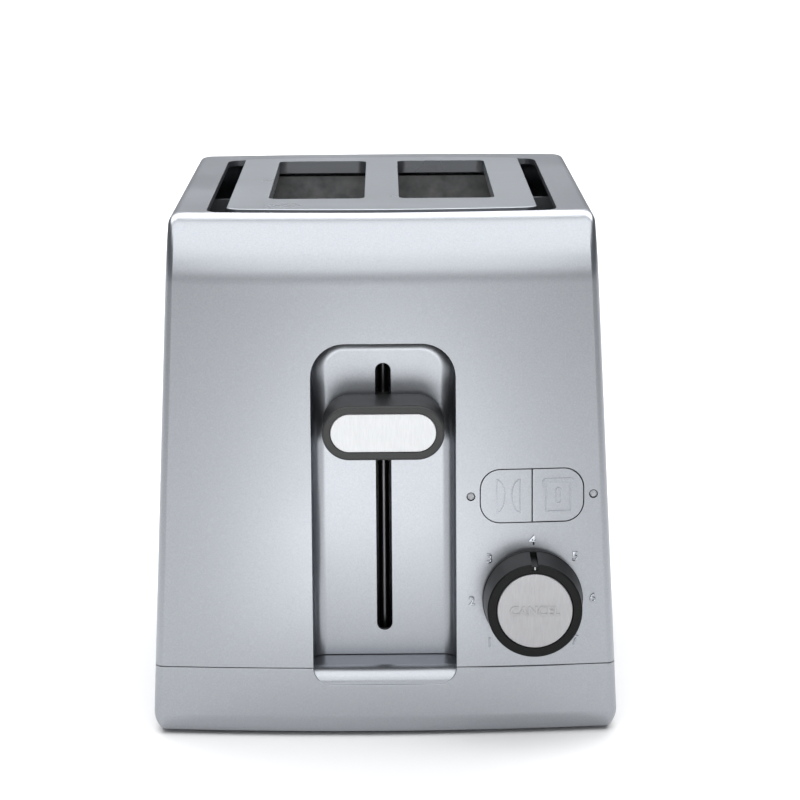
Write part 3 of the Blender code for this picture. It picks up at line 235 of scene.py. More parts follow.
def soften(obj, angle=32, weighted=True):
    """Shade smooth up to an angle. Weighted normals keep the large flat faces flat."""
    take(obj)
    bpy.ops.object.shade_smooth_by_angle(angle=math.radians(angle))
    if weighted:
        normals = obj.modifiers.new("weighted", "WEIGHTED_NORMAL")
        normals.keep_sharp = True
        normals.weight = 80
        apply_all(obj)
    return obj


def joined(name, objects):
    """Several objects as one mesh."""
    clear_selection()
    for obj in objects:
        obj.select_set(True)
    bpy.context.view_layer.objects.active = objects[0]
    if len(objects) > 1:
        bpy.ops.object.join()
    objects[0].name = objects[0].data.name = name
    return objects[0]


def fit_out(obj, body, slot, finish, *replaced):
    """Give a finished piece its finish, the body that it rides on and the nodes it stands for."""
    obj.data.materials.clear()
    obj.data.materials.append(finish)
    if replaced:
        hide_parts(*replaced)
    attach(obj, body)
    faces = len(obj.data.polygons)
    print(f"{obj.name}: {faces} faces, rides on {body}")
    return obj


# %% [markdown]
# ## Camera
#
# The view is a long-lens product view from a little above: the camera stands about 1.3 m in
# front of the toaster, looks down ten degrees, and is a hair off square. Three plain
# rotations say all of it: turn, tip, then roll about the lens axis.

# %% Camera
CAMERA_PLACE = (0.0014, MIDDLE_Y - 1.2878, 0.3472)
CAMERA_TIP = 10.48
CAMERA_TURN = 0.25
CAMERA_ROLL = -0.39
CAMERA_LENS = 139.6

camera_data = bpy.data.cameras.new("camera")
camera_data.lens = CAMERA_LENS
camera_data.sensor_width = 36.0
camera_data.clip_start = 0.05
camera = bpy.data.objects.new("camera", camera_data)
bpy.context.scene.collection.objects.link(camera)
camera.matrix_world = (
    Matrix.Translation(CAMERA_PLACE)
    @ Matrix.Rotation(math.radians(-CAMERA_TURN), 4, "Z")
    @ Matrix.Rotation(math.radians(90 - CAMERA_TIP), 4, "X")
    @ Matrix.Rotation(math.radians(CAMERA_ROLL), 4, "Z")
)
bpy.context.scene.camera = camera
print("camera at", [round(value, 3) for value in CAMERA_PLACE])

# %% [markdown]
# ## Floor, world and studio light
#
# The paint is metallic, so it shows whatever surrounds it. A faint cool world fills the
# shadows. One large softbox hangs overhead, a second stands high in front and lights the
# rolled top edge, a bright card lies on the table and lights the lower front, and a last
# one keeps the far floor white. The floor is a plain pale sheet.

# %% Floor, world and lights
world = bpy.data.worlds.new("light_tent")
bpy.context.scene.world = world
world.use_nodes = True
backdrop = world.node_tree.nodes["Background"]
backdrop.inputs["Color"].default_value = (0.90, 0.95, 1.0, 1.0)
backdrop.inputs["Strength"].default_value = 0.16
bpy.context.scene.view_settings.view_transform = "Standard"


def softbox(name, place, aim, size, brightness):
    """A rectangular light whose surface has the same brightness whatever its size."""
    data = bpy.data.lights.new(name, "AREA")
    data.shape = "RECTANGLE"
    data.size, data.size_y = size
    data.energy = brightness * math.pi * size[0] * size[1]
    lamp = bpy.data.objects.new(name, data)
    bpy.context.scene.collection.objects.link(lamp)
    lamp.location = place
    lamp.rotation_euler = (Vector(aim) - Vector(place)).to_track_quat("-Z", "Y").to_euler()
    return lamp


softbox("overhead_softbox", (0.0, -0.85, 1.15), (0.0, -0.849, 0.0), (2.0, 2.1), 2.2)
softbox("high_front_softbox", (0.0, -2.6, 0.95), (0.0, 0.0, 0.2), (2.2, 1.0), 1.95)
card = softbox("table_card", (0.0, -0.75, 0.003), (0.0, -0.7499, 1.0), (0.24, 0.75), 1.9)
card.visible_camera = False
softbox("background_softbox", (0.0, 3.2, 2.6), (0.0, 3.2001, 0.0), (5.0, 4.0), 4.2)

clear_selection()
bpy.ops.mesh.primitive_plane_add(size=14.0, location=(0, 3.0, 0))
floor = added("studio_floor")
floor_finish = bpy.data.materials.new("studio_white")
floor_finish.use_nodes = True
floor_shader = floor_finish.node_tree.nodes["Principled BSDF"]
floor_shader.inputs["Base Color"].default_value = (0.9, 0.9, 0.9, 1)
floor_shader.inputs["Roughness"].default_value = 0.8
floor.data.materials.append(floor_finish)

# %% [markdown]
# ## Shared finish effects
#
# Two effects turn up in many of the finishes, so each is a node group, built once. `grain`
# is a fine noise: it gives a value for colour and a height for bump, and its scale and
# stretch are set where it is used, so that one group makes paint flake, brushing and the
# spark-eroded skin of a moulding. `patina` is a slow, large-scale variation for roughness.

# %% Node groups


def group(name, inputs, outputs):
    made = bpy.data.node_groups.new(name, "ShaderNodeTree")
    for label, kind, value in inputs:
        socket = made.interface.new_socket(name=label, in_out="INPUT", socket_type=kind)
        socket.default_value = value
    for label, kind in outputs:
        made.interface.new_socket(name=label, in_out="OUTPUT", socket_type=kind)
    made.nodes.new("NodeGroupInput").name = "in"
    made.nodes.new("NodeGroupOutput").name = "out"
    return made


def wire(tree, source, target):
    """Link "node:socket" to "node:socket"."""
    left, out = source.split(":")
    right, into = target.split(":")
    tree.links.new(tree.nodes[left].outputs[out], tree.nodes[right].inputs[into])


def node(tree, kind, name, **values):
    made = tree.nodes.new(kind)
    made.name = name
    for key, value in values.items():
        if key in made.inputs:
            made.inputs[key].default_value = value
        else:
            setattr(made, key, value)
    return made


# The middle part of a noise, where nearly all of its values lie.
NOISE_SPAN = {"From Min": 0.3, "From Max": 0.7}
GRAIN = group(
    "grain",
    [
        ("Vector", "NodeSocketVector", (0, 0, 0)),
        ("Stretch", "NodeSocketVector", (1, 1, 1)),
        ("Scale", "NodeSocketFloat", 1000.0),
        ("Low", "NodeSocketFloat", 0.0),
        ("High", "NodeSocketFloat", 1.0),
    ],
    [("Value", "NodeSocketFloat"), ("Height", "NodeSocketFloat")],
)
node(GRAIN, "ShaderNodeVectorMath", "stretch", operation="MULTIPLY")
node(GRAIN, "ShaderNodeTexNoise", "noise", Detail=3.0, Roughness=0.6)
node(GRAIN, "ShaderNodeMapRange", "spread", **NOISE_SPAN)
wire(GRAIN, "in:Vector", "stretch:Vector")
GRAIN.links.new(GRAIN.nodes["in"].outputs["Stretch"], GRAIN.nodes["stretch"].inputs[1])
wire(GRAIN, "stretch:Vector", "noise:Vector")
wire(GRAIN, "in:Scale", "noise:Scale")
wire(GRAIN, "noise:Fac", "spread:Value")
wire(GRAIN, "in:Low", "spread:To Min")
wire(GRAIN, "in:High", "spread:To Max")
wire(GRAIN, "spread:Result", "out:Value")
wire(GRAIN, "noise:Fac", "out:Height")

PATINA = group(
    "patina",
    [
        ("Vector", "NodeSocketVector", (0, 0, 0)),
        ("Scale", "NodeSocketFloat", 12.0),
        ("Low", "NodeSocketFloat", 0.3),
        ("High", "NodeSocketFloat", 0.4),
    ],
    [("Value", "NodeSocketFloat")],
)
node(PATINA, "ShaderNodeTexNoise", "noise", Detail=4.0, Roughness=0.55)
node(PATINA, "ShaderNodeMapRange", "spread", **NOISE_SPAN)
wire(PATINA, "in:Vector", "noise:Vector")
wire(PATINA, "in:Scale", "noise:Scale")
wire(PATINA, "noise:Fac", "spread:Value")
wire(PATINA, "in:Low", "spread:To Min")
wire(PATINA, "in:High", "spread:To Max")
wire(PATINA, "spread:Result", "out:Value")
print("node groups:", ", ".join(group_.name for group_ in bpy.data.node_groups))

# %% [markdown]
# ## Finishes
#
# Every finish starts from the same recipe: Object coordinates into a grain, the grain mixed
# between two close colours, the patina into roughness, and the grain's height into a faint
# bump. What makes one paint and another rubber is the numbers. Constants sit on the shader's
# own sockets.

# %% The finish recipe
SOCKETS = {
    "specular_ior_level": "Specular IOR Level",
    "specular_tint": "Specular Tint",
}


def finish(
    name,
    dark,
    light,
    roughness,
    metallic=0.0,
    scale=1500.0,
    stretch=(1, 1, 1),
    bump=0.1,
    depth=0.00002,
    patina_scale=14.0,
    **sockets,
):
    """A material whose colour runs from dark to light with a grain, and whose roughness is a
    (low, high) pair that drifts slowly over the surface."""
    made = bpy.data.materials.new(name)
    made.use_nodes = True
    tree = made.node_tree
    shader = tree.nodes["Principled BSDF"]
    shader.name = "shader"
    shader.inputs["Metallic"].default_value = metallic
    for key, value in sockets.items():
        shader.inputs[SOCKETS[key]].default_value = value
    node(tree, "ShaderNodeTexCoord", "place")
    grain = node(tree, "ShaderNodeGroup", "grain", node_tree=GRAIN)
    grain.inputs["Scale"].default_value = scale
    grain.inputs["Stretch"].default_value = stretch
    slow = node(tree, "ShaderNodeGroup", "patina", node_tree=PATINA)
    slow.inputs["Scale"].default_value = patina_scale
    slow.inputs["Low"].default_value = roughness[0]
    slow.inputs["High"].default_value = roughness[1]
    colour = node(tree, "ShaderNodeMix", "colour", data_type="RGBA")
    colour.inputs[6].default_value = (*dark, 1)
    colour.inputs[7].default_value = (*light, 1)
    relief = node(tree, "ShaderNodeBump", "relief", Strength=bump, Distance=depth)
    wire(tree, "place:Object", "grain:Vector")
    wire(tree, "place:Object", "patina:Vector")
    tree.links.new(grain.outputs["Value"], colour.inputs[0])
    tree.links.new(colour.outputs[2], shader.inputs["Base Color"])
    wire(tree, "patina:Value", "shader:Roughness")
    tree.links.new(grain.outputs["Height"], relief.inputs["Height"])
    wire(tree, "relief:Normal", "shader:Normal")
    return made


SILVER_PAINT = finish(
    "silver_paint", (0.315, 0.33, 0.355), (0.36, 0.375, 0.40), (0.28, 0.32), 0.96,
    scale=1600.0, bump=0.14, depth=0.00003, specular_tint=(0.88, 0.88, 0.9, 1),
)
BRUSHED_SHEET = finish(
    "brushed_sheet", (0.455, 0.48, 0.52), (0.475, 0.50, 0.54), (0.27, 0.29), 1.0,
    scale=300.0, stretch=(0.02, 1, 1), bump=0.0,
)
GALVANISED = finish(
    "galvanised", (0.15, 0.155, 0.16), (0.25, 0.255, 0.26), (0.38, 0.50), 0.9,
    scale=160.0, bump=0.08, depth=0.00003,
)
BRIGHT_STEEL = finish(
    "bright_steel", (0.52, 0.52, 0.53), (0.66, 0.66, 0.67), (0.18, 0.26), 1.0,
    scale=900.0, stretch=(1, 1, 0.06), bump=0.06,
)
# Painted shade: a darker copy of bright steel for the guide rod, so that it reads dim down the
# shadowed lever slot.
ROD_STEEL_PAINTED_SHADE = finish(
    "rod_steel_painted_shade", (0.10, 0.10, 0.105), (0.15, 0.15, 0.155), (0.24, 0.32), 1.0,
    scale=900.0, stretch=(1, 1, 0.06), bump=0.06,
)
KNOB_PLASTIC = finish(
    "knob_plastic", (0.018, 0.0185, 0.019), (0.026, 0.0265, 0.027), (0.40, 0.47),
    scale=2600.0, bump=0.3, specular_ior_level=0.4,
)
DIAL_PLASTIC = finish(
    "dial_plastic", (0.004, 0.0042, 0.0045), (0.008, 0.0082, 0.0085), (0.30, 0.36),
    scale=2600.0, bump=0.25, specular_ior_level=0.12,
)
BLACK_PLASTIC = finish(
    "black_plastic", (0.012, 0.012, 0.013), (0.024, 0.024, 0.026), (0.34, 0.44),
    scale=2000.0, bump=0.3,
)
SATIN_FACE = finish(
    "satin_face", (0.50, 0.51, 0.52), (0.56, 0.57, 0.58), (0.34, 0.40), 0.4,
    scale=2400.0, stretch=(1, 1, 0.12), bump=0.08,
)
CAP_SATIN = finish(
    "cap_satin", (0.31, 0.31, 0.32), (0.35, 0.35, 0.36), (0.32, 0.38), 0.5,
    scale=2400.0, stretch=(1, 1, 0.12), bump=0.05,
)
RAISED_PAINT = finish(
    "raised_paint", (0.27, 0.285, 0.31), (0.33, 0.345, 0.37), (0.10, 0.14), 0.95,
    scale=1600.0, bump=0.05,
)
MICA = finish(
    "mica_board", (0.30, 0.25, 0.17), (0.52, 0.46, 0.34), (0.35, 0.6),
    scale=90.0, bump=0.2, depth=0.0001,
)
RIBBON = finish(
    "heater_ribbon", (0.10, 0.085, 0.075), (0.20, 0.17, 0.15), (0.35, 0.5), 0.9,
    scale=700.0, bump=0.1,
)
PALE_MOULDING = finish(
    "pale_moulding", (0.56, 0.54, 0.48), (0.66, 0.64, 0.58), (0.5, 0.65),
    scale=1200.0, bump=0.3,
)
COPPER = finish(
    "copper_winding", (0.36, 0.13, 0.05), (0.62, 0.28, 0.13), (0.26, 0.34), 0.9,
    scale=1500.0, stretch=(0.02, 0.02, 1), bump=0.6, depth=0.0001,
)
BOARD = finish(
    "board_green", (0.015, 0.09, 0.04), (0.03, 0.17, 0.08), (0.35, 0.5),
    scale=300.0, bump=0.2,
)
RUBBER = finish(
    "black_rubber", (0.012, 0.012, 0.012), (0.022, 0.022, 0.022), (0.75, 0.9),
    scale=1500.0, bump=0.5, depth=0.00005,
)
LIGHT_PIPE = finish(
    "light_pipe", (0.30, 0.31, 0.33), (0.38, 0.39, 0.41), (0.14, 0.2),
    scale=800.0, bump=0.1,
)
print("finishes:", len(bpy.data.materials))

# %% [markdown]
# ## The body's form
#
# The shell leans in as it rises, its two ends bow out by 5.5 mm, and at the top each end
# rolls over in a big soft curve while the long sides turn over in a small one. A plan outline
# raised in steps gives all of that: draw the outline once, then extrude it upwards and shrink
# it a little at each step. The bow comes from one pull on the middle of an end, with a
# proportional falloff that is an exact parabola.
#
# The same function makes the outside and, moved in by the wall, the inside.

# %% A body form, at any inset
END_SPANS = 56
ROLL_STEPS = 14
EDGE_STEPS = 6


def pull_ends(obj, front, back, bow, reach):
    """Bow out the middle of the two ends of a flat outline."""
    for y, way in ((front, -1), (back, 1)):
        edit("VERT")
        pick(obj, "verts", lambda v: abs(v.co.y - y) < MM / 10 and abs(v.co.x) < MM / 10)
        bpy.ops.transform.translate(
            value=(0, way * bow, 0),
            use_proportional_edit=True,
            proportional_edit_falloff="INVERSE_SQUARE",
            proportional_size=reach,
        )
        done()


def outline(name, half_width, front, back, bow, radius, z, spans=END_SPANS):
    """A flat plan whose ends bow out and whose corners are rounded. front and back are the
    places of its ends at the corners."""
    clear_selection()
    bpy.ops.mesh.primitive_grid_add(
        x_subdivisions=spans, y_subdivisions=1, size=1.0, location=(0, (front + back) / 2, z)
    )
    obj = bpy.context.active_object
    obj.scale = (2 * half_width, back - front, 1)
    obj = added(name)
    pull_ends(obj, front, back, bow, half_width)
    edit_all("EDGE")
    bpy.ops.mesh.dissolve_limited(angle_limit=0.0001)
    bpy.ops.mesh.select_all(action="DESELECT")
    bpy.ops.mesh.select_mode(type="VERT")
    pick(obj, "verts", lambda v: abs(abs(v.co.x) - half_width) < MM / 10)
    bpy.ops.mesh.bevel(offset=radius, segments=6, affect="VERTICES", clamp_overlap=False)
    done()
    return obj


def size_now(obj):
    """Half width and half length of the selected top face, in edit mode."""
    bm = bmesh.from_edit_mesh(obj.data)
    points = [vert.co for vert in bm.verts if vert.select]
    return (
        (max(p.x for p in points) - min(p.x for p in points)) / 2,
        (max(p.y for p in points) - min(p.y for p in points)) / 2,
    )


def raise_to(obj, z, width, length, middle_y):
    """Extrude the selected face to a height and make it this wide and long, as half sizes."""
    bm = bmesh.from_edit_mesh(obj.data)
    now = next(vert.co.z for vert in bm.verts if vert.select)
    extrude(z=z - now)
    wide, long = size_now(obj)
    bpy.ops.transform.resize(
        value=(width / wide, length / long, 1), center_override=(0, middle_y, z)
    )


def roll_heights(inset):
    """Heights up the rolled top, then round the small edge of the long sides."""
    edge = max(SIDE_EDGE - inset, MM)
    roll = ROLL_HEIGHT - inset
    start = TOP - ROLL_HEIGHT
    last = math.asin((roll - edge) / roll)
    heights = [start + roll * math.sin(last * step / ROLL_STEPS) for step in range(ROLL_STEPS)]
    for step in range(EDGE_STEPS + 1):
        turn = math.radians(90) * step / EDGE_STEPS
        heights.append(TOP - inset - edge + edge * math.sin(turn))
    return heights


def plan_at(z, inset):
    """Half width and half length of the form at a height, moved in by inset."""
    start = TOP - ROLL_HEIGHT
    edge = max(SIDE_EDGE - inset, MM)
    width = half_width_at(z) - inset
    length = half_length_at(min(z, start)) - inset
    if z > start:
        rise = min((z - start) / (ROLL_HEIGHT - inset), 1.0)
        length -= (ROLL_DEPTH - inset) * (1 - math.sqrt(1 - rise * rise))
    if z > TOP - inset - edge:
        rise = min((z - TOP + inset + edge) / edge, 1.0)
        width -= edge * (1 - math.sqrt(1 - rise * rise))
    return width, length


def body_form(name, low, heights, inset=0.0, low_plan=None):
    """A closed solid with the body's form, from low up through the heights."""
    width, length = low_plan or plan_at(low, inset)
    corner = length - END_BOW
    radius = max(CORNER_RADIUS - inset, 1.5 * MM)
    obj = outline(name, width, MIDDLE_Y - corner, MIDDLE_Y + corner, END_BOW, radius, low)
    edit_all()
    for z in heights:
        raise_to(obj, z, *plan_at(z, inset), MIDDLE_Y)
    done()
    close_open_edges()
    return tidy(obj)


print("heights up the roll:", len(roll_heights(0.0)))

# %% [markdown]
# ## Cutters with rounded corners
#
# Most openings in a moulding are rounded rectangles with soft inner corners. A flat rectangle
# gets its corners bevelled as points, then it is pushed into a solid. Bevelling the far face's
# edges rounds the bottom of the pocket that it will cut.

# %% Plates and cutters in the plane of the front face
CORNER_STEPS = 10


def face_plate(name, left, right, bottom, top, radii, front, back, steps=CORNER_STEPS):
    """A rounded rectangle in the XZ plane, given depth from front to back. radii is the pair
    of the lower and the upper corners' radii."""
    clear_selection()
    bpy.ops.mesh.primitive_plane_add(
        size=1.0,
        location=((left + right) / 2, front, (bottom + top) / 2),
        rotation=(math.radians(90), 0, 0),
    )
    obj = bpy.context.active_object
    obj.scale = (right - left, top - bottom, 1)
    obj = added(name)
    for radius, z in ((radii[0], bottom), (radii[1], top)):
        if radius > 0:
            edit("VERT")
            pick(obj, "verts", lambda v: abs(v.co.z - z) < MM / 20 and (
                min(abs(v.co.x - left), abs(v.co.x - right)) < MM / 20
            ))
            bpy.ops.mesh.bevel(
                offset=radius, segments=steps, affect="VERTICES", clamp_overlap=False
            )
            done()
    edit_all()
    extrude(y=back - front)
    done()
    return tidy(obj, MM / 200)


def round_edges(obj, test, width, steps=4, profile=0.5):
    """Bevel the edges that pass a test."""
    take(obj)
    edit("EDGE")
    found = pick(obj, "edges", test)
    if found:
        bpy.ops.mesh.bevel(
            offset=width, segments=steps, affect="EDGES", profile=profile, clamp_overlap=True
        )
    done()
    return obj


def on_plane(axis, value, within=MM / 50):
    """A test for edges that lie in a plane."""
    return lambda edge: all(abs(vert.co[axis] - value) < within for vert in edge.verts)


def disc(name, radius, low, high, centre, axis="Y", sides=64):
    """A cylinder from low to high along an axis, through centre on the other two."""
    turn = {"X": (0, math.radians(90), 0), "Y": (math.radians(90), 0, 0), "Z": (0, 0, 0)}[axis]
    middle_at = (low + high) / 2
    place = {
        "X": (middle_at, centre[0], centre[1]),
        "Y": (centre[0], middle_at, centre[1]),
        "Z": (centre[0], centre[1], middle_at),
    }[axis]
    clear_selection()
    bpy.ops.mesh.primitive_cylinder_add(
        vertices=sides, radius=radius, depth=high - low, location=place, rotation=turn
    )
    return added(name)


def block(name, low, high):
    """A box between two corners."""
    bpy.ops.object.select_all(action="DESELECT")
    middle_at = (Vector(low) + Vector(high)) / 2
    bpy.ops.mesh.primitive_cube_add(size=1.0, location=middle_at)
    obj = bpy.context.active_object
    obj.scale = Vector(high) - Vector(low)
    return added(name)


print("pocket corners are rounded in", CORNER_STEPS, "steps")

# %% [markdown]
# ## The housing
#
# The housing is a one-piece moulding, painted silver. It could be sculpted as a single skin,
# but a moulding is easier to get right as it is designed: an outer form, less an inner one,
# less each opening. The deep hollow for the lever goes in last. Its pocket has a soft fillet
# where the walls meet the floor, which is what shades so strongly along its sides, and a
# small rounded rim.

# %% Sizes of the recess, the well and the holes
RECESS_HALF = 0.0277
RECESS_BOTTOM = 0.0209
RECESS_TOP = 0.1538
RECESS_RADII = (0.007, 0.013)
RECESS_FLOOR = MIDDLE_Y - 0.108
RECESS_FILLET = 0.0055
RIM = 1.1 * MM
FRONT_CLEAR = MIDDLE_Y - 0.16
SLOT_HALF = 0.00305
SLOT_BOTTOM = 0.0374
SLOT_TOP = 0.1436
WELL_HALF = 0.0676
WELL_FRONT = MIDDLE_Y - 0.103
WELL_BACK = MIDDLE_Y + 0.0835
WELL_RADIUS = 0.008
WELL_EDGE = 0.6 * MM
TOP_BOW = 0.005
HOLE_BACK = MIDDLE_Y - 0.114
DIAL_HOLE = 0.0066
LIGHT_HOLE = 0.0017
DIAL_CENTRE = centre_of("dial_ring")
BUTTONS = [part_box("bagel_button"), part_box("defrost_button")]
BUTTON_RADIUS = 0.0075
BUTTON_GAP = 0.0004
RIB_PLACES = (-0.050, 0.006)
RIB_INNER = 0.0602
RIB_HALF = 0.7 * MM
RIB_LOW = TOP - 0.018
RIB_HIGH = TOP - 0.008
POST_PLACES = [(x, MIDDLE_Y + y) for x in (-0.083, 0.083) for y in (-0.072, 0.072)]
POST_RADIUS = 0.0048
POST_TOP = 0.052
BORE_RADIUS = 0.0019


def recess_cutter(name, grow=0.0):
    """The lever recess as a solid, or its pocket grown by the wall."""
    radii = tuple(radius + grow for radius in RECESS_RADII)
    cutter = face_plate(
        name,
        -RECESS_HALF - grow,
        RECESS_HALF + grow,
        RECESS_BOTTOM - grow,
        RECESS_TOP + grow,
        radii,
        FRONT_CLEAR,
        RECESS_FLOOR + grow,
    )
    return round_edges(cutter, on_plane(1, RECESS_FLOOR + grow), RECESS_FILLET + grow / 2, 9)


def on_recess_rim(edge):
    """Edges where the recess breaks through the outer face."""
    for vert in edge.verts:
        x, y, z = vert.co
        if abs(x) > RECESS_HALF + MM / 5 or abs(y - face_y(x, z)) > MM / 4:
            return False
    return len(edge.link_faces) == 2 and edge.calc_face_angle(0) > math.radians(45)


def round_rim(obj):
    take(obj)
    edit("EDGE")
    found = pick(obj, "edges", on_recess_rim)
    bpy.ops.mesh.bevel(offset=RIM, segments=4, affect="EDGES", clamp_overlap=True)
    done()
    print(obj.name, "rim edges rounded:", found)


# %% Cut the housing
housing = body_form("housing_shell", SEAM, roll_heights(0.0))
upper_form = copied(housing, "upper_form")
inner_heights = [TOP - ROLL_HEIGHT] + roll_heights(WALL)[1:]
hollow = body_form("housing_hollow", SEAM - 0.01, inner_heights, WALL)
combine(hollow, recess_cutter("pocket", WALL))
combine(housing, hollow)
combine(housing, recess_cutter("recess"))
round_rim(housing)

well = outline("well", WELL_HALF, WELL_FRONT, WELL_BACK, TOP_BOW, WELL_RADIUS, TOP - 0.02, 32)
edit_all()
extrude(z=0.04)
done()
combine(housing, tidy(well))


def on_well_edge(edge):
    low, high = edge.verts[0].co, edge.verts[1].co
    flat = abs(low.z - TOP) < MM / 50 and abs(high.z - TOP) < MM / 50
    inside = all(abs(v.co.x) < WELL_HALF + MM / 5 for v in edge.verts)
    return flat and inside and edge.calc_face_angle(0) > math.radians(60)


round_edges(housing, on_well_edge, WELL_EDGE, 3)
slot = face_plate(
    "lever_slot", -SLOT_HALF, SLOT_HALF, SLOT_BOTTOM, SLOT_TOP,
    (SLOT_HALF - MM / 10, SLOT_HALF - MM / 10), RECESS_FLOOR - 0.004, RECESS_FLOOR + 0.006,
)
combine(housing, slot)
dial_hole = disc(
    "dial_hole", DIAL_HOLE, FRONT_CLEAR, HOLE_BACK, (DIAL_CENTRE.x, DIAL_CENTRE.z)
)
combine(housing, dial_hole)
combine(
    housing,
    face_plate(
        "button_hole",
        BUTTONS[0][0].x - BUTTON_GAP,
        BUTTONS[1][1].x + BUTTON_GAP,
        BUTTONS[0][0].z - BUTTON_GAP,
        BUTTONS[0][1].z + BUTTON_GAP,
        (BUTTON_RADIUS + BUTTON_GAP, BUTTON_RADIUS + BUTTON_GAP),
        FRONT_CLEAR,
        HOLE_BACK,
    ),
)
for light in ("light_pipe_left", "light_pipe_right"):
    place = centre_of(light)
    at = (place.x, place.z)
    combine(housing, disc("light_hole", LIGHT_HOLE, FRONT_CLEAR, HOLE_BACK, at, sides=24))
for at in POST_PLACES:
    combine(housing, disc("post", POST_RADIUS, SEAM, POST_TOP, at, "Z", 24), "UNION")
    combine(housing, disc("bore", BORE_RADIUS, SEAM - MM, POST_TOP - 3 * MM, at, "Z", 16))
for side in (-1, 1):
    for y in RIB_PLACES:
        near, far = sorted((side * RIB_INNER, side * (half_width_at(TOP) - MM)))
        low = (near, MIDDLE_Y + y - RIB_HALF, RIB_LOW)
        high = (far, MIDDLE_Y + y + RIB_HALF, RIB_HIGH)
        combine(housing, block("rib", low, high), "UNION")
tidy(housing)
soften(housing, 32)
fit_out(housing, "housing", "silver_paint", SILVER_PAINT, "outer_housing")

# %% [markdown]
# ## The base
#
# The base carries the same outline down to the floor. Its lower edge is rounded in, and a
# shallow chamfer where it meets the housing makes the thin dark line that shows all the way
# round the toaster.

# %% The base shell
BASE_TOP = BASE_HIGH.z
BASE_BOTTOM = BASE_LOW.z
SKIRT = 0.007
SKIRT_INSET = 0.0022
SKIRT_STEPS = 8
SEAM_EDGE = 0.25 * MM
FLOOR_HIGH = BASE_BOTTOM + 2.2 * MM
FLOOR_TUCK = 1.4 * MM
LEDGE_BACK = 0.3 * MM
SINK_RADIUS = 0.0035
SINK_TOP = 0.006
FOOT_HOLE = 0.003
FEET = [(x, MIDDLE_Y + y) for x in (-0.068, 0.068) for y in (-0.098, 0.098)]
REAR_INSIDE = MIDDLE_Y + 0.109
REAR_CLEAR = MIDDLE_Y + 0.149
MOUTH_HALF = 0.0545
MOUTH_HEIGHTS = (0.007, 0.0195)
INLET_RADIUS = 0.0061
INLET_AT = (0.0720, 0.0150)


def base_plan(z, inset):
    width, length = plan_at(SEAM, inset)
    lean = SEAM - z
    return width + lean * SIDE_DRAFT, length + lean * END_DRAFT


def base_form(name, low, rings, inset=0.0):
    """A closed solid for the base. rings are (height, how far in) pairs."""
    width, length = base_plan(low, inset + rings[0][1])
    corner = length - END_BOW
    radius = max(CORNER_RADIUS - inset, 1.5 * MM)
    obj = outline(name, width, MIDDLE_Y - corner, MIDDLE_Y + corner, END_BOW, radius, low)
    edit_all()
    for z, tuck in rings[1:]:
        raise_to(obj, z, *base_plan(z, inset + tuck), MIDDLE_Y)
    done()
    close_open_edges()
    return tidy(obj)


skirt_rings = []
for step in range(SKIRT_STEPS + 1):
    rise = math.sin(math.radians(90) * step / SKIRT_STEPS)
    skirt_rings.append((BASE_BOTTOM + SKIRT * rise, SKIRT_INSET * (1 - rise) ** 2))
skirt_rings += [(BASE_TOP - SEAM_EDGE, 0.0), (BASE_TOP, SEAM_EDGE)]
base = base_form("base_moulding", BASE_BOTTOM, skirt_rings)
lower_form = copied(base, "lower_form")
base_hollow = base_form(
    "base_hollow", FLOOR_HIGH, [(0, FLOOR_TUCK), (BASE_TOP + 0.01, 0.0)], WALL
)
combine(base_hollow, recess_cutter("pocket", WALL))
combine(base, base_hollow)
combine(base, recess_cutter("recess"))
round_rim(base)
ledge_front = face_y(RECESS_HALF, RECESS_BOTTOM) + LEDGE_BACK
ledge = block(
    "ledge",
    (-RECESS_HALF - MM, ledge_front, RECESS_BOTTOM - MM),
    (RECESS_HALF + MM, RECESS_FLOOR + MM, BASE_TOP),
)


def ledge_edge(edge):
    return on_plane(1, ledge_front)(edge) and on_plane(2, BASE_TOP)(edge)


round_edges(ledge, ledge_edge, BASE_TOP - RECESS_BOTTOM, 12)
combine(base, ledge, "UNION")
for at in POST_PLACES:
    combine(base, disc("post", POST_RADIUS, 3 * MM, BASE_TOP - MM / 5, at, "Z", 24), "UNION")
    combine(base, disc("bore", BORE_RADIUS, -0.01, BASE_TOP + 0.01, at, "Z", 16))
    combine(base, disc("sink", SINK_RADIUS, -0.01, SINK_TOP, at, "Z", 24))
for at in FEET:
    combine(base, disc("foot_hole", FOOT_HOLE, -0.01, 0.015, at, "Z", 24))
mouth_low = Vector((-MOUTH_HALF, REAR_INSIDE, MOUTH_HEIGHTS[0]))
mouth_high = Vector((MOUTH_HALF, REAR_CLEAR, MOUTH_HEIGHTS[1]))
combine(base, block("tray_mouth", mouth_low, mouth_high))
combine(base, disc("inlet", INLET_RADIUS, REAR_INSIDE, REAR_CLEAR, INLET_AT, sides=32))
tidy(base)
soften(base, 32)
fit_out(base, "housing", "silver_paint", SILVER_PAINT, "base_shell")

# %% [markdown]
# ## The slot plate
#
# The plate is a pressing of brushed steel: one sheet with its outer edge turned down and a
# short lip turned down round each bread slot. It is made as a thick slab, hollowed from below
# so that only the sheet, the skirt and the lips are left, with the turned edges rounded last.

# %% The slot plate
PLATE_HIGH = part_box("top_slot_plate")[1].z
PLATE_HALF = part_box("top_slot_plate")[1].x
PLATE_FRONT = WELL_FRONT + 0.0055
PLATE_BACK = WELL_BACK - 0.0005
SHEET = 1.0 * MM
LIP = 5 * MM
SKIRT_DROP = 3.2 * MM
SLOT_INNER = 0.0068
SLOT_OUTER = 0.0448
SLOT_FRONT = MIDDLE_Y - 0.0665
SLOT_BACK = MIDDLE_Y + 0.0729
SLOT_ROUND = 0.004
PLATE_ROUND = 0.004
UNDERSIDE_ROUND = 0.003
PLATE_EDGE = 2.2 * MM
SLOT_EDGE = 0.5 * MM


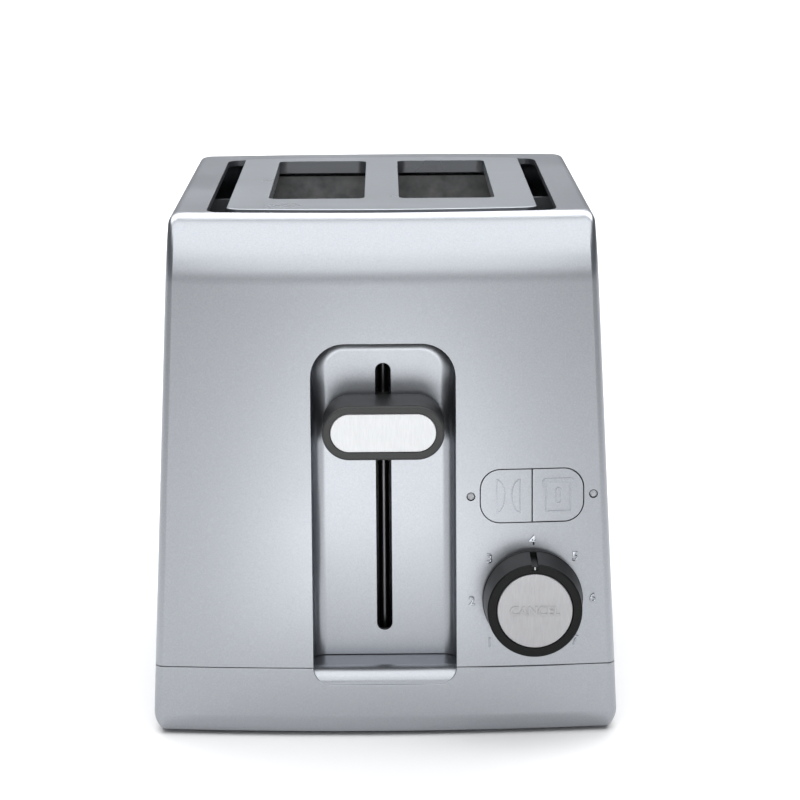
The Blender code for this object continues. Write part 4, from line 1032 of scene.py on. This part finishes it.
def flat_prism(name, left, right, front, back, radius, low, high, steps=8):
    """An upright prism with a rounded rectangle as its plan."""
    clear_selection()
    bpy.ops.mesh.primitive_plane_add(
        size=1.0, location=((left + right) / 2, (front + back) / 2, low)
    )
    obj = bpy.context.active_object
    obj.scale = (right - left, back - front, 1)
    obj = added(name)
    if radius > 0:
        edit_all("VERT")
        bpy.ops.mesh.bevel(offset=radius, segments=steps, affect="VERTICES", clamp_overlap=False)
        done()
    edit_all()
    extrude(z=high - low)
    done()
    return tidy(obj, MM / 1000)


def bowed_prism(name, half, front, back, bow, radius, low, high, spans=32):
    """An upright prism with a bowed plan."""
    obj = outline(name, half, front, back, bow, radius, low, spans)
    edit_all()
    extrude(z=high - low)
    done()
    return tidy(obj, MM / 1000)


def bread_slot(name, side, grow, low, high):
    left, right = sorted((side * SLOT_INNER - side * grow, side * SLOT_OUTER + side * grow))
    return flat_prism(
        name, left, right, SLOT_FRONT - grow, SLOT_BACK + grow, SLOT_ROUND + grow, low, high
    )


plate_low = PLATE_HIGH - LIP - MM / 5
plate = bowed_prism(
    "slot_plate", PLATE_HALF, PLATE_FRONT, PLATE_BACK, TOP_BOW, PLATE_ROUND, plate_low, PLATE_HIGH
)
underside = bowed_prism(
    "underside", PLATE_HALF - SHEET, PLATE_FRONT + SHEET, PLATE_BACK - SHEET, TOP_BOW,
    UNDERSIDE_ROUND, plate_low - MM, PLATE_HIGH - SHEET,
)
combine(
    underside,
    block(
        "under_skirt",
        (-0.1, MIDDLE_Y - 0.13, plate_low - 2 * MM),
        (0.1, MIDDLE_Y + 0.13, PLATE_HIGH - SKIRT_DROP),
    ),
    "UNION",
)
for side in (-1, 1):
    combine(underside, bread_slot("lip", side, SHEET, plate_low - 3 * MM, PLATE_HIGH - SHEET / 2))
combine(plate, underside)
for side in (-1, 1):
    combine(plate, bread_slot("bread_slot", side, 0.0, plate_low - MM, PLATE_HIGH + MM))


def plate_rim(edge):
    flat = on_plane(2, PLATE_HIGH)(edge)
    return flat and edge.calc_face_angle(0) > math.radians(60)


def outer_rim(edge):
    at = middle(edge)
    beyond = abs(at.x) > 0.05 or at.y < SLOT_FRONT - 0.01 or at.y > SLOT_BACK + 0.005
    return plate_rim(edge) and beyond


round_edges(plate, outer_rim, PLATE_EDGE, 8)
round_edges(plate, plate_rim, SLOT_EDGE, 3)
tidy(plate)
soften(plate, 32)
fit_out(plate, "housing", "brushed_sheet", BRUSHED_SHEET, "top_slot_plate")

# %% [markdown]
# ## The lever knob
#
# The knob is a bar with round ends, moulded in dark plastic, with a pale plate let into its
# face. The plate sits a hair below the rim, so the rim keeps its own thin line of light.

# %% The knob and its face plate
KNOB_LOW, KNOB_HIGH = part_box("lever_knob")
INSERT_LOW, INSERT_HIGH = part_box("knob_insert")
ARM_LOW, ARM_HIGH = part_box("lever_arm")
SOCKET_GAP = 0.3 * MM


def pill_plate(name, low, high, front, back, steps=20):
    """A bar with round ends between two corners of its front view."""
    radius = (high.z - low.z) / 2
    return face_plate(name, low.x, high.x, low.z, high.z, (radius, radius), front, back, steps)


knob = pill_plate("knob_grip", KNOB_LOW, KNOB_HIGH, KNOB_LOW.y, KNOB_HIGH.y)
round_edges(knob, on_plane(1, KNOB_LOW.y), 1.1 * MM, 5)
round_edges(knob, on_plane(1, KNOB_HIGH.y), 0.8 * MM, 3)
margin = Vector((SOCKET_GAP, 0, SOCKET_GAP))
pocket = pill_plate(
    "face_pocket", INSERT_LOW - margin / 2, INSERT_HIGH + margin / 2,
    KNOB_LOW.y - MM, INSERT_HIGH.y + SOCKET_GAP,
)
combine(knob, pocket)


def pocket_mouth(edge):
    at = middle(edge)
    return on_plane(1, KNOB_LOW.y)(edge) and edge.calc_face_angle(0) > math.radians(60)


round_edges(knob, pocket_mouth, 0.2 * MM, 2)
combine(knob, block("arm_socket", ARM_LOW - margin, ARM_HIGH + margin))
tidy(knob)
soften(knob, 32)
fit_out(knob, "carriage", "dark_grey_plastic", KNOB_PLASTIC, "lever_knob")

insert_front = INSERT_LOW.y + MM / 10
insert = pill_plate("knob_face", INSERT_LOW, INSERT_HIGH, insert_front, INSERT_HIGH.y)
round_edges(insert, on_plane(1, insert_front), 0.35 * MM, 3)
soften(insert, 32)
fit_out(insert, "carriage", "light_satin_metal", SATIN_FACE, "knob_insert")

# %% [markdown]
# ## The dial
#
# The dial is a black ring that turns, round a pale cap that pushes in. Both are turned
# shapes. A profile is built up ring by ring from a circle: extrude the last circle, move it,
# resize it. The pointer is a groove cut down the side of the ring and across its rim.

# %% Turned shapes


def turned(name, centre, profile, sides=128, closed=False):
    """A shape turned about an axis along Y, from (radius, y) points. Open ends are capped."""
    bpy.ops.object.select_all(action="DESELECT")
    first_radius, first_y = profile[0]
    bpy.ops.mesh.primitive_circle_add(
        vertices=sides,
        radius=first_radius,
        fill_type="NOTHING" if closed else "NGON",
        location=(centre[0], first_y, centre[1]),
        rotation=(math.radians(90), 0, 0),
    )
    obj = added(name)
    edit("EDGE" if closed else "FACE")
    bpy.ops.mesh.select_all(action="SELECT")
    radius, y = first_radius, first_y
    for next_radius, next_y in profile[1:]:
        extrude(y=next_y - y)
        grow = next_radius / radius
        bpy.ops.transform.resize(
            value=(grow, 1, grow), center_override=(centre[0], next_y, centre[1])
        )
        radius, y = next_radius, next_y
    if closed:
        bpy.ops.mesh.select_all(action="DESELECT")
        pick(obj, "edges", lambda edge: edge.is_boundary)
        bpy.ops.mesh.bridge_edge_loops()
    else:
        bpy.ops.mesh.select_mode(type="EDGE")
        bpy.ops.mesh.select_all(action="DESELECT")
        if pick(obj, "edges", lambda edge: edge.is_boundary):
            bpy.ops.mesh.edge_face_add()
    done()
    return tidy(obj)


def quarter(radius_from, y_from, radius_to, y_to, steps, out_first):
    """Points round a quarter of an ellipse between two points of a profile."""
    made = []
    for step in range(1, steps + 1):
        turn = math.radians(90) * step / steps
        if out_first:
            share_r, share_y = math.sin(turn), 1 - math.cos(turn)
        else:
            share_r, share_y = 1 - math.cos(turn), math.sin(turn)
        made.append(
            (radius_from + (radius_to - radius_from) * share_r, y_from + (y_to - y_from) * share_y)
        )
    return made


# %% The dial ring and the cap
DIAL_LOW, DIAL_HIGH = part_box("dial_ring")
DIAL_X = (DIAL_LOW.x + DIAL_HIGH.x) / 2
DIAL_Z = (DIAL_LOW.z + DIAL_HIGH.z) / 2
DIAL_AT = (DIAL_X, DIAL_Z)
DIAL_RADIUS = (DIAL_HIGH.x - DIAL_LOW.x) / 2
DIAL_TIP = DIAL_LOW.y
DIAL_BACK = DIAL_TIP + 0.0184
RING_FRONT = 0.01805
CAP_LOW, CAP_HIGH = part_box("cancel_button")
CAP_RADIUS = (CAP_HIGH.x - CAP_LOW.x) / 2
BORE = CAP_RADIUS + 0.25 * MM
HUB = 0.0060
SHAFT = 0.0032
POCKET = DIAL_TIP + 0.0067

CAP_STEM = 0.0025
rim = 0.7 * MM
ring_profile = [(BORE, POCKET), (BORE, DIAL_TIP + rim / 2)]
ring_profile += quarter(BORE, DIAL_TIP + rim / 2, BORE + rim / 2, DIAL_TIP, 3, False)
ring_profile += [(RING_FRONT - rim, DIAL_TIP)]
ring_profile += quarter(RING_FRONT - rim, DIAL_TIP, RING_FRONT, DIAL_TIP + rim, 5, True)
ring_profile += [(DIAL_RADIUS - MM / 5, DIAL_BACK - MM), (DIAL_RADIUS, DIAL_BACK - 0.7 * MM)]
ring_profile += [(DIAL_RADIUS, DIAL_BACK - MM / 5), (DIAL_RADIUS - MM / 5, DIAL_BACK)]
ring_profile += [(HUB, DIAL_BACK), (HUB, DIAL_HIGH.y), (SHAFT, DIAL_HIGH.y), (SHAFT, POCKET)]
ring = turned("dial_grip", DIAL_AT, ring_profile, closed=True)
POINTER_HALF = 0.0013
groove = block(
    "groove",
    (DIAL_X - POINTER_HALF, DIAL_TIP - MM, DIAL_Z + RING_FRONT - 0.9 * MM),
    (DIAL_X + POINTER_HALF, DIAL_BACK - 1.6 * MM, DIAL_Z + RING_FRONT + 4 * MM),
)
combine(ring, groove)
notch = block(
    "notch",
    (DIAL_X - POINTER_HALF, DIAL_TIP - MM, DIAL_Z + CAP_RADIUS + 1.3 * MM),
    (DIAL_X + POINTER_HALF, DIAL_TIP + 0.6 * MM, DIAL_Z + RING_FRONT + 4 * MM),
)
combine(ring, notch)
tidy(ring)
soften(ring, 32)
fit_out(ring, "dial", "black_plastic", DIAL_PLASTIC, "dial_ring")

tick = block(
    "pointer_mark",
    (DIAL_X - 0.25 * MM, DIAL_TIP + 0.25 * MM, DIAL_Z + CAP_RADIUS + 1.6 * MM),
    (DIAL_X + 0.25 * MM, DIAL_TIP + 0.55 * MM, DIAL_Z + RING_FRONT - 1.1 * MM),
)
round_edges(tick, on_plane(1, DIAL_TIP + 0.25 * MM), 0.08 * MM, 2)
soften(tick, 32)
fit_out(tick, "dial", "light_satin_metal", SATIN_FACE)

cap_edge = 0.45 * MM
cap_front = CAP_LOW.y + 0.15 * MM
cap_profile = [(CAP_RADIUS - cap_edge, cap_front)]
cap_profile += quarter(CAP_RADIUS - cap_edge, cap_front, CAP_RADIUS, cap_front + cap_edge, 4, True)
cap_back = CAP_LOW.y + 4 * MM
cap_profile += [(CAP_RADIUS, cap_back), (CAP_STEM, cap_back), (CAP_STEM, CAP_HIGH.y)]
cap = turned("cancel_cap", DIAL_AT, cap_profile)
soften(cap, 32)
fit_out(cap, "cancel", "light_satin_metal", CAP_SATIN, "cancel_button")

# %% [markdown]
# ## Numbers and signs
#
# The numbers round the dial stand half a millimetre proud of the paint, so they show only by
# the light on their edges. Blender's text object gives the numerals. It is turned into a
# mesh before it is put in place, so that the finished piece keeps its place in its mesh.
# The function word on the cap is made in the same way.

# %% Raised lettering
LETTER_RISE = 0.55 * MM
WORD_RISE = 0.3 * MM
NUMBER_SIZE = 5 * MM
WORD_SIZE = 4.9 * MM
STROKE = 0.06 * MM


def lettering(name, words, size, x, z, y, rise=LETTER_RISE):
    """Raised characters facing the front, centred on a place."""
    clear_selection()
    bpy.ops.object.text_add(location=(0, 0, 0))
    obj = bpy.context.active_object
    obj.data.body = words
    obj.data.size = size
    obj.data.align_x = "CENTER"
    obj.data.align_y = "CENTER"
    obj.data.extrude = rise
    obj.data.bevel_depth = min(rise / 4, 0.09 * MM)
    obj.data.bevel_resolution = 1
    obj.data.resolution_u = 6
    obj.data.offset = STROKE
    bpy.ops.object.convert(target="MESH")
    obj = bpy.context.active_object
    obj.name = obj.data.name = name
    obj.rotation_euler = (math.radians(90), 0, 0)
    obj.location = (x, y, z)
    take(obj)
    bpy.ops.object.transform_apply(location=True, rotation=True, scale=True)
    return tidy(obj, MM / 100)


NUMBER_RADIUS = 0.0234
NUMBER_DROP = 0.9 * MM
numbers = []
for index in range(7):
    turn = math.radians(-135 + 45 * index)
    x = DIAL_X + NUMBER_RADIUS * math.sin(turn)
    z = DIAL_Z - NUMBER_DROP + NUMBER_RADIUS * math.cos(turn)
    name, words = f"number_{index + 1}", str(index + 1)
    numbers.append(lettering(name, words, NUMBER_SIZE, x, z, face_y(x, z)))
numbers = joined("dial_numbers", numbers)
soften(numbers, 30)
fit_out(numbers, "housing", "silver_paint", RAISED_PAINT)

word = lettering("cap_word", "CANCEL", WORD_SIZE, DIAL_X, DIAL_Z, cap_front, WORD_RISE)
soften(word, 30)
fit_out(word, "cancel", "light_satin_metal", CAP_SATIN)

# %% [markdown]
# ## The push buttons
#
# Two buttons share one opening, and their faces carry on the curve of the housing. The
# surest way to a face that matches is to take it from the same form: a plain block of the
# right outline is intersected with a copy of the body's outer form, moved forward a little.
# The raised signs are made in the same way, from thin rings.

# %% Pieces that follow the body's surface
BUTTON_PROUD = 0.15 * MM
SIGN_RISE = 0.45 * MM
BUTTON_DEPTH = 3 * MM
BUTTON_EDGE = 0.3 * MM
BUTTON_STEM = 2.2 * MM


def follow_form(obj, form, forward):
    """Keep only what lies inside the form, once that is moved forward (towards -Y)."""
    return combine(obj, copied(form, "form_copy", (0, -forward, 0)), "INTERSECT")


def push_button(name, node, left_round):
    """One of the pair: round on its outer side, and cut off square where the two meet."""
    low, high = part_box(node)
    left = low.x if left_round else low.x - 2 * BUTTON_RADIUS
    right = high.x + 2 * BUTTON_RADIUS if left_round else high.x
    radii = (BUTTON_RADIUS, BUTTON_RADIUS)
    front = face_y((low.x + high.x) / 2, (low.z + high.z) / 2)
    back = front + BUTTON_DEPTH
    made = face_plate(name, left, right, low.z, high.z, radii, front - 5 * MM, back)
    spare_left = high.x if left_round else low.x - 4 * BUTTON_RADIUS
    spare_right = high.x + 4 * BUTTON_RADIUS if left_round else low.x
    spare_low = (spare_left, front - 0.01, low.z - 0.01)
    combine(made, block("spare", spare_low, (spare_right, back + 0.01, high.z + 0.01)))
    follow_form(made, upper_form, BUTTON_PROUD)
    round_edges(
        made,
        lambda edge: abs(edge.calc_face_angle(0)) > math.radians(50)
        and all(vert.co.y < back - MM for vert in edge.verts),
        BUTTON_EDGE,
        3,
    )
    at = ((low.x + high.x) / 2, (low.z + high.z) / 2)
    stem = disc("stem", BUTTON_STEM, back - MM, high.y, at, sides=24)
    return combine(made, stem, "UNION")


for name, node, left_round in (
    ("bagel_key", "bagel_button", True),
    ("defrost_key", "defrost_button", False),
):
    key = push_button(name, node, left_round)
    tidy(key)
    soften(key, 32)
    fit_out(key, node.split("_")[0], "silver_paint", SILVER_PAINT, node)

# %% [markdown]
# ## The signs on the buttons
#
# A halved bagel and a slice of bread, drawn as thin raised lines. A line drawing in relief is
# an outline, inset by the width of the line, with the middle taken out.

# %% Raised line signs
LINE = 0.55 * MM
FINE_LINE = 0.3 * MM
SIGN_DEPTH = 1.2 * MM


def line_sign(name, plate, width=LINE):
    """Turn a plate that faces the front into a raised outline on a button."""
    take(plate)
    edit("FACE")
    front_y = min(vert.co.y for vert in bmesh.from_edit_mesh(plate.data).verts)
    pick(
        plate,
        "faces",
        lambda face: abs(middle(face).y - front_y) < MM / 20 and abs(face.normal.y) > 0.9,
    )
    bpy.ops.mesh.duplicate()
    bpy.ops.mesh.separate(type="SELECTED")
    done()
    hole = [obj for obj in bpy.context.selected_objects if obj != plate][0]
    take(hole)
    edit_all()
    bpy.ops.mesh.inset(thickness=width, depth=0)
    bpy.ops.mesh.select_all(action="INVERT")
    bpy.ops.mesh.delete(type="FACE")
    bpy.ops.mesh.select_all(action="SELECT")
    extrude(y=0.03)
    bpy.ops.mesh.select_all(action="SELECT")
    bpy.ops.transform.translate(value=(0, -0.01, 0))
    done()
    combine(plate, tidy(hole, MM / 1000))
    follow_form(plate, upper_form, BUTTON_PROUD + SIGN_RISE)
    plate.name = plate.data.name = name
    return plate


def sign_plate(name, x, half, bottom, top, radius):
    """A plate centred on x, deep enough to reach from inside a button to past its sign."""
    front = face_y(x - half, bottom) - 2 * MM
    back = face_y(x - half, bottom) + SIGN_DEPTH
    return face_plate(name, x - half, x + half, bottom, top, (radius, radius), front, back, 8)


def half_disc(name, side, flat_x, centre_z, wide, tall, front, back):
    """Half of an oval bar: straight at flat_x, and round on the other side."""
    made = disc(name, tall, front, back, (0, 0), sides=50)
    take(made)
    edit_all("VERT")
    bpy.ops.transform.resize(value=(wide / tall, 1, 1), center_override=(0, 0, 0))
    bpy.ops.transform.translate(value=(flat_x, 0, centre_z))
    done()
    left, right = sorted((flat_x, flat_x + side * 2 * wide))
    low = (left, front - MM, centre_z - 2 * tall)
    return combine(made, block("beyond", low, (right, back + MM, centre_z + 2 * tall)))


def half_bagel(side):
    """One half of a bagel: straight on the outside, and round towards the middle."""
    low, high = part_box("bagel_button")
    centre_x = (low.x + high.x) / 2 + 0.9 * MM
    centre_z = (low.z + high.z) / 2
    tall, wide, gap = 6.6 * MM, 3.6 * MM, 1.1 * MM
    flat_x = centre_x + side * (gap + wide)
    front = face_y(centre_x, centre_z) - 3 * MM
    back = face_y(centre_x, centre_z) + SIGN_DEPTH
    made = half_disc("bagel_half", side, flat_x, centre_z, wide, tall, front, back)
    flat_x -= side * LINE
    inside = (wide - 2 * LINE, tall - LINE, front - MM, back + MM)
    combine(made, half_disc("inside", side, flat_x, centre_z, *inside))
    return follow_form(made, upper_form, BUTTON_PROUD + SIGN_RISE)


bagel_sign = joined("bagel_sign", [half_bagel(-1), half_bagel(1)])
soften(bagel_sign, 30)
fit_out(bagel_sign, "bagel", "silver_paint", RAISED_PAINT)


def bread_sign():
    low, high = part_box("defrost_button")
    x = (low.x + high.x) / 2 + 0.2 * MM
    z = (low.z + high.z) / 2
    body = sign_plate("slice", x, 5.0 * MM, z - 6.6 * MM, z + 5.5 * MM, 0.6 * MM)
    crown = sign_plate("crown", x, 6.3 * MM, z + 2.2 * MM, z + 6.6 * MM, 1.8 * MM)
    slice_ = combine(body, crown, "UNION")
    take(slice_)
    edit_all()
    bpy.ops.mesh.dissolve_limited(angle_limit=math.radians(1))
    done()
    line = line_sign("slice_line", slice_)
    mark = sign_plate("mark", x, 1.0 * MM, z - 3.2 * MM, z + 3.0 * MM, 0.9 * MM)
    return joined("bread_sign", [line, line_sign("mark_line", mark, FINE_LINE)])


bread = bread_sign()
soften(bread, 30)
fit_out(bread, "defrost", "silver_paint", RAISED_PAINT)

# %% [markdown]
# ## The two indicator lights
#
# Each light is the tip of a clear rod, a little below the surface, in a round hole.
# The thin dark gap round it and the dished tip are what make it read as a light.

# %% Light tips
LIGHT_SUNK = 0.45 * MM
for side, node in (("left", "light_pipe_left"), ("right", "light_pipe_right")):
    low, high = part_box(node)
    at = ((low.x + high.x) / 2, (low.z + high.z) / 2)
    front = face_y(*at) + LIGHT_SUNK
    profile = [
        (0.55 * MM, front + 0.25 * MM),
        (0.8 * MM, front + 0.1 * MM),
        (1.1 * MM, front),
        (1.3 * MM, front + 0.1 * MM),
        (1.4 * MM, front + 0.35 * MM),
        (1.4 * MM, front + 3.0 * MM),
        (2.2 * MM, front + 3.0 * MM),
        (2.2 * MM, high.y),
    ]
    tip = turned("light_tip_" + side, at, profile, 40)
    soften(tip, 40)
    fit_out(tip, "housing", "light_pipe", LIGHT_PIPE, node)

# %% [markdown]
# ## Rod, spring and bread guides
#
# These are wire and rod. The guide rod shows as a thin line of light down the lever's slot.
# The spring is one round section turned about an axis by the Screw modifier, and it runs
# between the housing and the carriage. The bread guides are grids of round wire, made one
# wire at a time and joined.

# %% The guide rod and the return spring
rod_low, rod_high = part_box("guide_rod")
rod_x, rod_y = (rod_low.x + rod_high.x) / 2, (rod_low.y + rod_high.y) / 2
ROD_RADIUS = (rod_high.x - rod_low.x) / 2
guide_bar = disc("slide_rod", ROD_RADIUS, rod_low.z, rod_high.z, (rod_x, rod_y), "Z", 48)
round_edges(guide_bar, on_plane(2, rod_high.z), 0.5 * MM, 3)
soften(guide_bar, 40)
# The rod takes the darker steel, whose colour is painted shade for the dim slot.
fit_out(guide_bar, "housing", "bright_steel", ROD_STEEL_PAINTED_SHADE, "guide_rod")

spring_low, spring_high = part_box("return_spring")
SPRING_AT = Vector(((spring_low.x + spring_high.x) / 2, rod_y, 0))
SPRING_TURNS = 24
SPRING_WIRE = 0.42 * MM
SPRING_RADIUS = 3.0 * MM
SPRING_HOOK = 4.5 * MM
coil_low = spring_low.z + SPRING_HOOK
coil_high = spring_high.z - SPRING_HOOK
clear_selection()
bpy.ops.mesh.primitive_circle_add(
    vertices=8,
    radius=SPRING_WIRE,
    location=(SPRING_RADIUS, 0, 0),
    rotation=(math.radians(90), 0, 0),
)
coil = added("spring_coil")
screw = coil.modifiers.new("coil", "SCREW")
screw.axis = "Z"
screw.angle = math.radians(360) * SPRING_TURNS
screw.screw_offset = coil_high - coil_low
screw.steps = screw.render_steps = 20 * SPRING_TURNS
apply_all(coil)
edit("EDGE")
pick(coil, "edges", lambda edge: edge.is_boundary)
bpy.ops.mesh.edge_face_add()
done()
coil.data.transform(Matrix.Translation((SPRING_AT.x, SPRING_AT.y, coil_low)))
hooks = []
for low, high in (
    (spring_low.z, coil_low + SPRING_WIRE),
    (coil_high - SPRING_WIRE, spring_high.z),
):
    at = (SPRING_AT.x + SPRING_RADIUS, SPRING_AT.y)
    hooks.append(disc("hook", SPRING_WIRE, low, high, at, "Z", 8))
coil = joined("spring_coil", [coil] + hooks)
take(coil)
edit_all()
bpy.ops.mesh.normals_make_consistent(inside=False)
done()
soften(coil, 60, weighted=False)
coil.data.materials.clear()
coil.data.materials.append(BRIGHT_STEEL)
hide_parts("return_spring")
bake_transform(coil)
print("spring turns:", SPRING_TURNS)

# %% The bread guides
WIRE = 0.85 * MM
GUIDE_WIRES = 9
GUIDE_STUB = 7.9 * MM
for side in ("left", "right"):
    for where in ("inner", "outer"):
        node_name = f"bread_guide_{side}_{where}"
        low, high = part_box(node_name)
        x = (low.x + high.x) / 2
        foot, head = low.z + WIRE, high.z - WIRE
        first, last = low.y + GUIDE_STUB, high.y - GUIDE_STUB
        wires = [
            disc("foot", WIRE, low.y, high.y, (x, foot), "Y", 16),
            disc("head", WIRE, first - WIRE, last + WIRE, (x, head), "Y", 16),
        ]
        for index in range(GUIDE_WIRES):
            y = first + (last - first) * index / (GUIDE_WIRES - 1)
            wires.append(disc("upright", WIRE, foot, head, (x, y), "Z", 16))
        grid = joined(f"guide_wires_{side}_{where}", wires)
        soften(grid, 50, weighted=False)
        fit_out(grid, f"guide_{side}_{where}", "bright_steel", BRIGHT_STEEL, node_name)

# %% [markdown]
# ## Heating elements
#
# The heaters are cards of mica with a flat resistance ribbon wound round them, close at the
# bottom and wider apart higher up, because the hot air rises. The card itself is a carried-over
# part of the frame, and the ribbon is added over it.

# %% Ribbon round the mica cards
RIBBON_WIDTH = 1.3 * MM
RIBBON_THICK = 0.12 * MM
RIBBON_RUNS = 15
RIBBON_LOW = 8 * MM
RIBBON_HIGH = 10 * MM
RIBBON_LEAN = 0.8 * MM
RIBBON_LIFT = 0.03 * MM
for side in ("left", "right"):
    for where in ("inner", "outer"):
        low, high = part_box(f"heater_card_{side}_{where}")
        runs = []
        for index in range(RIBBON_RUNS):
            share = index / (RIBBON_RUNS - 1)
            height = high.z - low.z - RIBBON_LOW - RIBBON_HIGH
            z = low.z + RIBBON_LOW + height * share ** 1.15
            for face_x, way in ((low.x, -1), (high.x, 1)):
                near = face_x + way * RIBBON_LIFT
                far = near + way * RIBBON_THICK
                lean = RIBBON_LEAN * way
                strip = block(
                    "strip",
                    (min(near, far), low.y + 2 * MM, z - RIBBON_WIDTH / 2 + lean),
                    (max(near, far), high.y - 2 * MM, z + RIBBON_WIDTH / 2 + lean),
                )
                runs.append(strip)
        ribbon = joined(f"heater_ribbon_{side}_{where}", runs)
        fit_out(ribbon, "housing", "bright_steel", RIBBON)

# %% [markdown]
# ## The rear: crumb tray handle and lead bush
#
# The tray's handle closes its mouth in the rear skirt and carries on the same curve, so it is
# taken from the same form as the base, with a ridge for the fingers. The bush beside it is
# where a supply lead would pass.

# %% The tray handle and the bush
RIDGE_HALF = 0.022
BUSH_BORE = 3.6 * MM
BUSH_NECK = 5.8 * MM
handle_low, handle_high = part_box("crumb_tray_handle")
handle = block("tray_handle", handle_low, handle_high + Vector((0, 0.02, 0)))
follow_form(handle, lower_form, -0.2 * MM)
ridge = block(
    "ridge",
    (-RIDGE_HALF, handle_high.y - 6 * MM, handle_high.z - 2.5 * MM),
    (RIDGE_HALF, handle_high.y, handle_high.z - 0.5 * MM),
)
round_edges(ridge, on_plane(1, handle_high.y), 0.7 * MM, 4)
combine(handle, ridge, "UNION")
tidy(handle)
soften(handle, 32)
fit_out(handle, "tray", "silver_paint", SILVER_PAINT, "crumb_tray_handle")

bush_low, bush_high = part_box("cord_gland")
BUSH_AT = ((bush_low.x + bush_high.x) / 2, (bush_low.z + bush_high.z) / 2)
flange = (bush_high.x - bush_low.x) / 2
out = bush_high.y - 2 * MM
bush_profile = [
    (BUSH_BORE, bush_high.y - 0.5 * MM),
    (4.1 * MM, bush_high.y),
    (flange - 0.9 * MM, bush_high.y),
    (flange - 0.3 * MM, bush_high.y - 0.25 * MM),
    (flange, bush_high.y - 0.9 * MM),
    (flange, out),
    (BUSH_NECK, out),
    (BUSH_NECK, bush_low.y + 1.8 * MM),
    (flange - MM, bush_low.y + 1.8 * MM),
    (flange - MM, bush_low.y),
    (BUSH_BORE, bush_low.y),
]
bush = turned("lead_bush", BUSH_AT, bush_profile, 64, closed=True)
soften(bush, 32)
fit_out(bush, "housing", "black_plastic", BLACK_PLASTIC, "cord_gland")

# %% [markdown]
# ## Finishes for the parts that come with the frame
#
# The inner parts keep the frame's own shapes and take the finishes made above, by the name of
# the material slot that each was given. The two copies of the body's form have done their
# work and are removed.

# %% Finishes by slot
BY_SLOT = {
    "silver_paint": SILVER_PAINT,
    "brushed_sheet": BRUSHED_SHEET,
    "galvanised_sheet": GALVANISED,
    "bright_steel": BRIGHT_STEEL,
    "dark_grey_plastic": KNOB_PLASTIC,
    "black_plastic": BLACK_PLASTIC,
    "light_satin_metal": SATIN_FACE,
    "mica_board": MICA,
    "pale_moulding": PALE_MOULDING,
    "copper_winding": COPPER,
    "board_green": BOARD,
    "black_rubber": RUBBER,
    "light_pipe": LIGHT_PIPE,
}
for subpart in frame["record"]["subparts"]:
    part = NODES[subpart["node"]]
    for material_slot in part.material_slots:
        material_slot.material = BY_SLOT[subpart["material_slot"]]
for form in (upper_form, lower_form):
    bpy.data.objects.remove(form)
print("parts with a finish from the frame:", len(NODES))
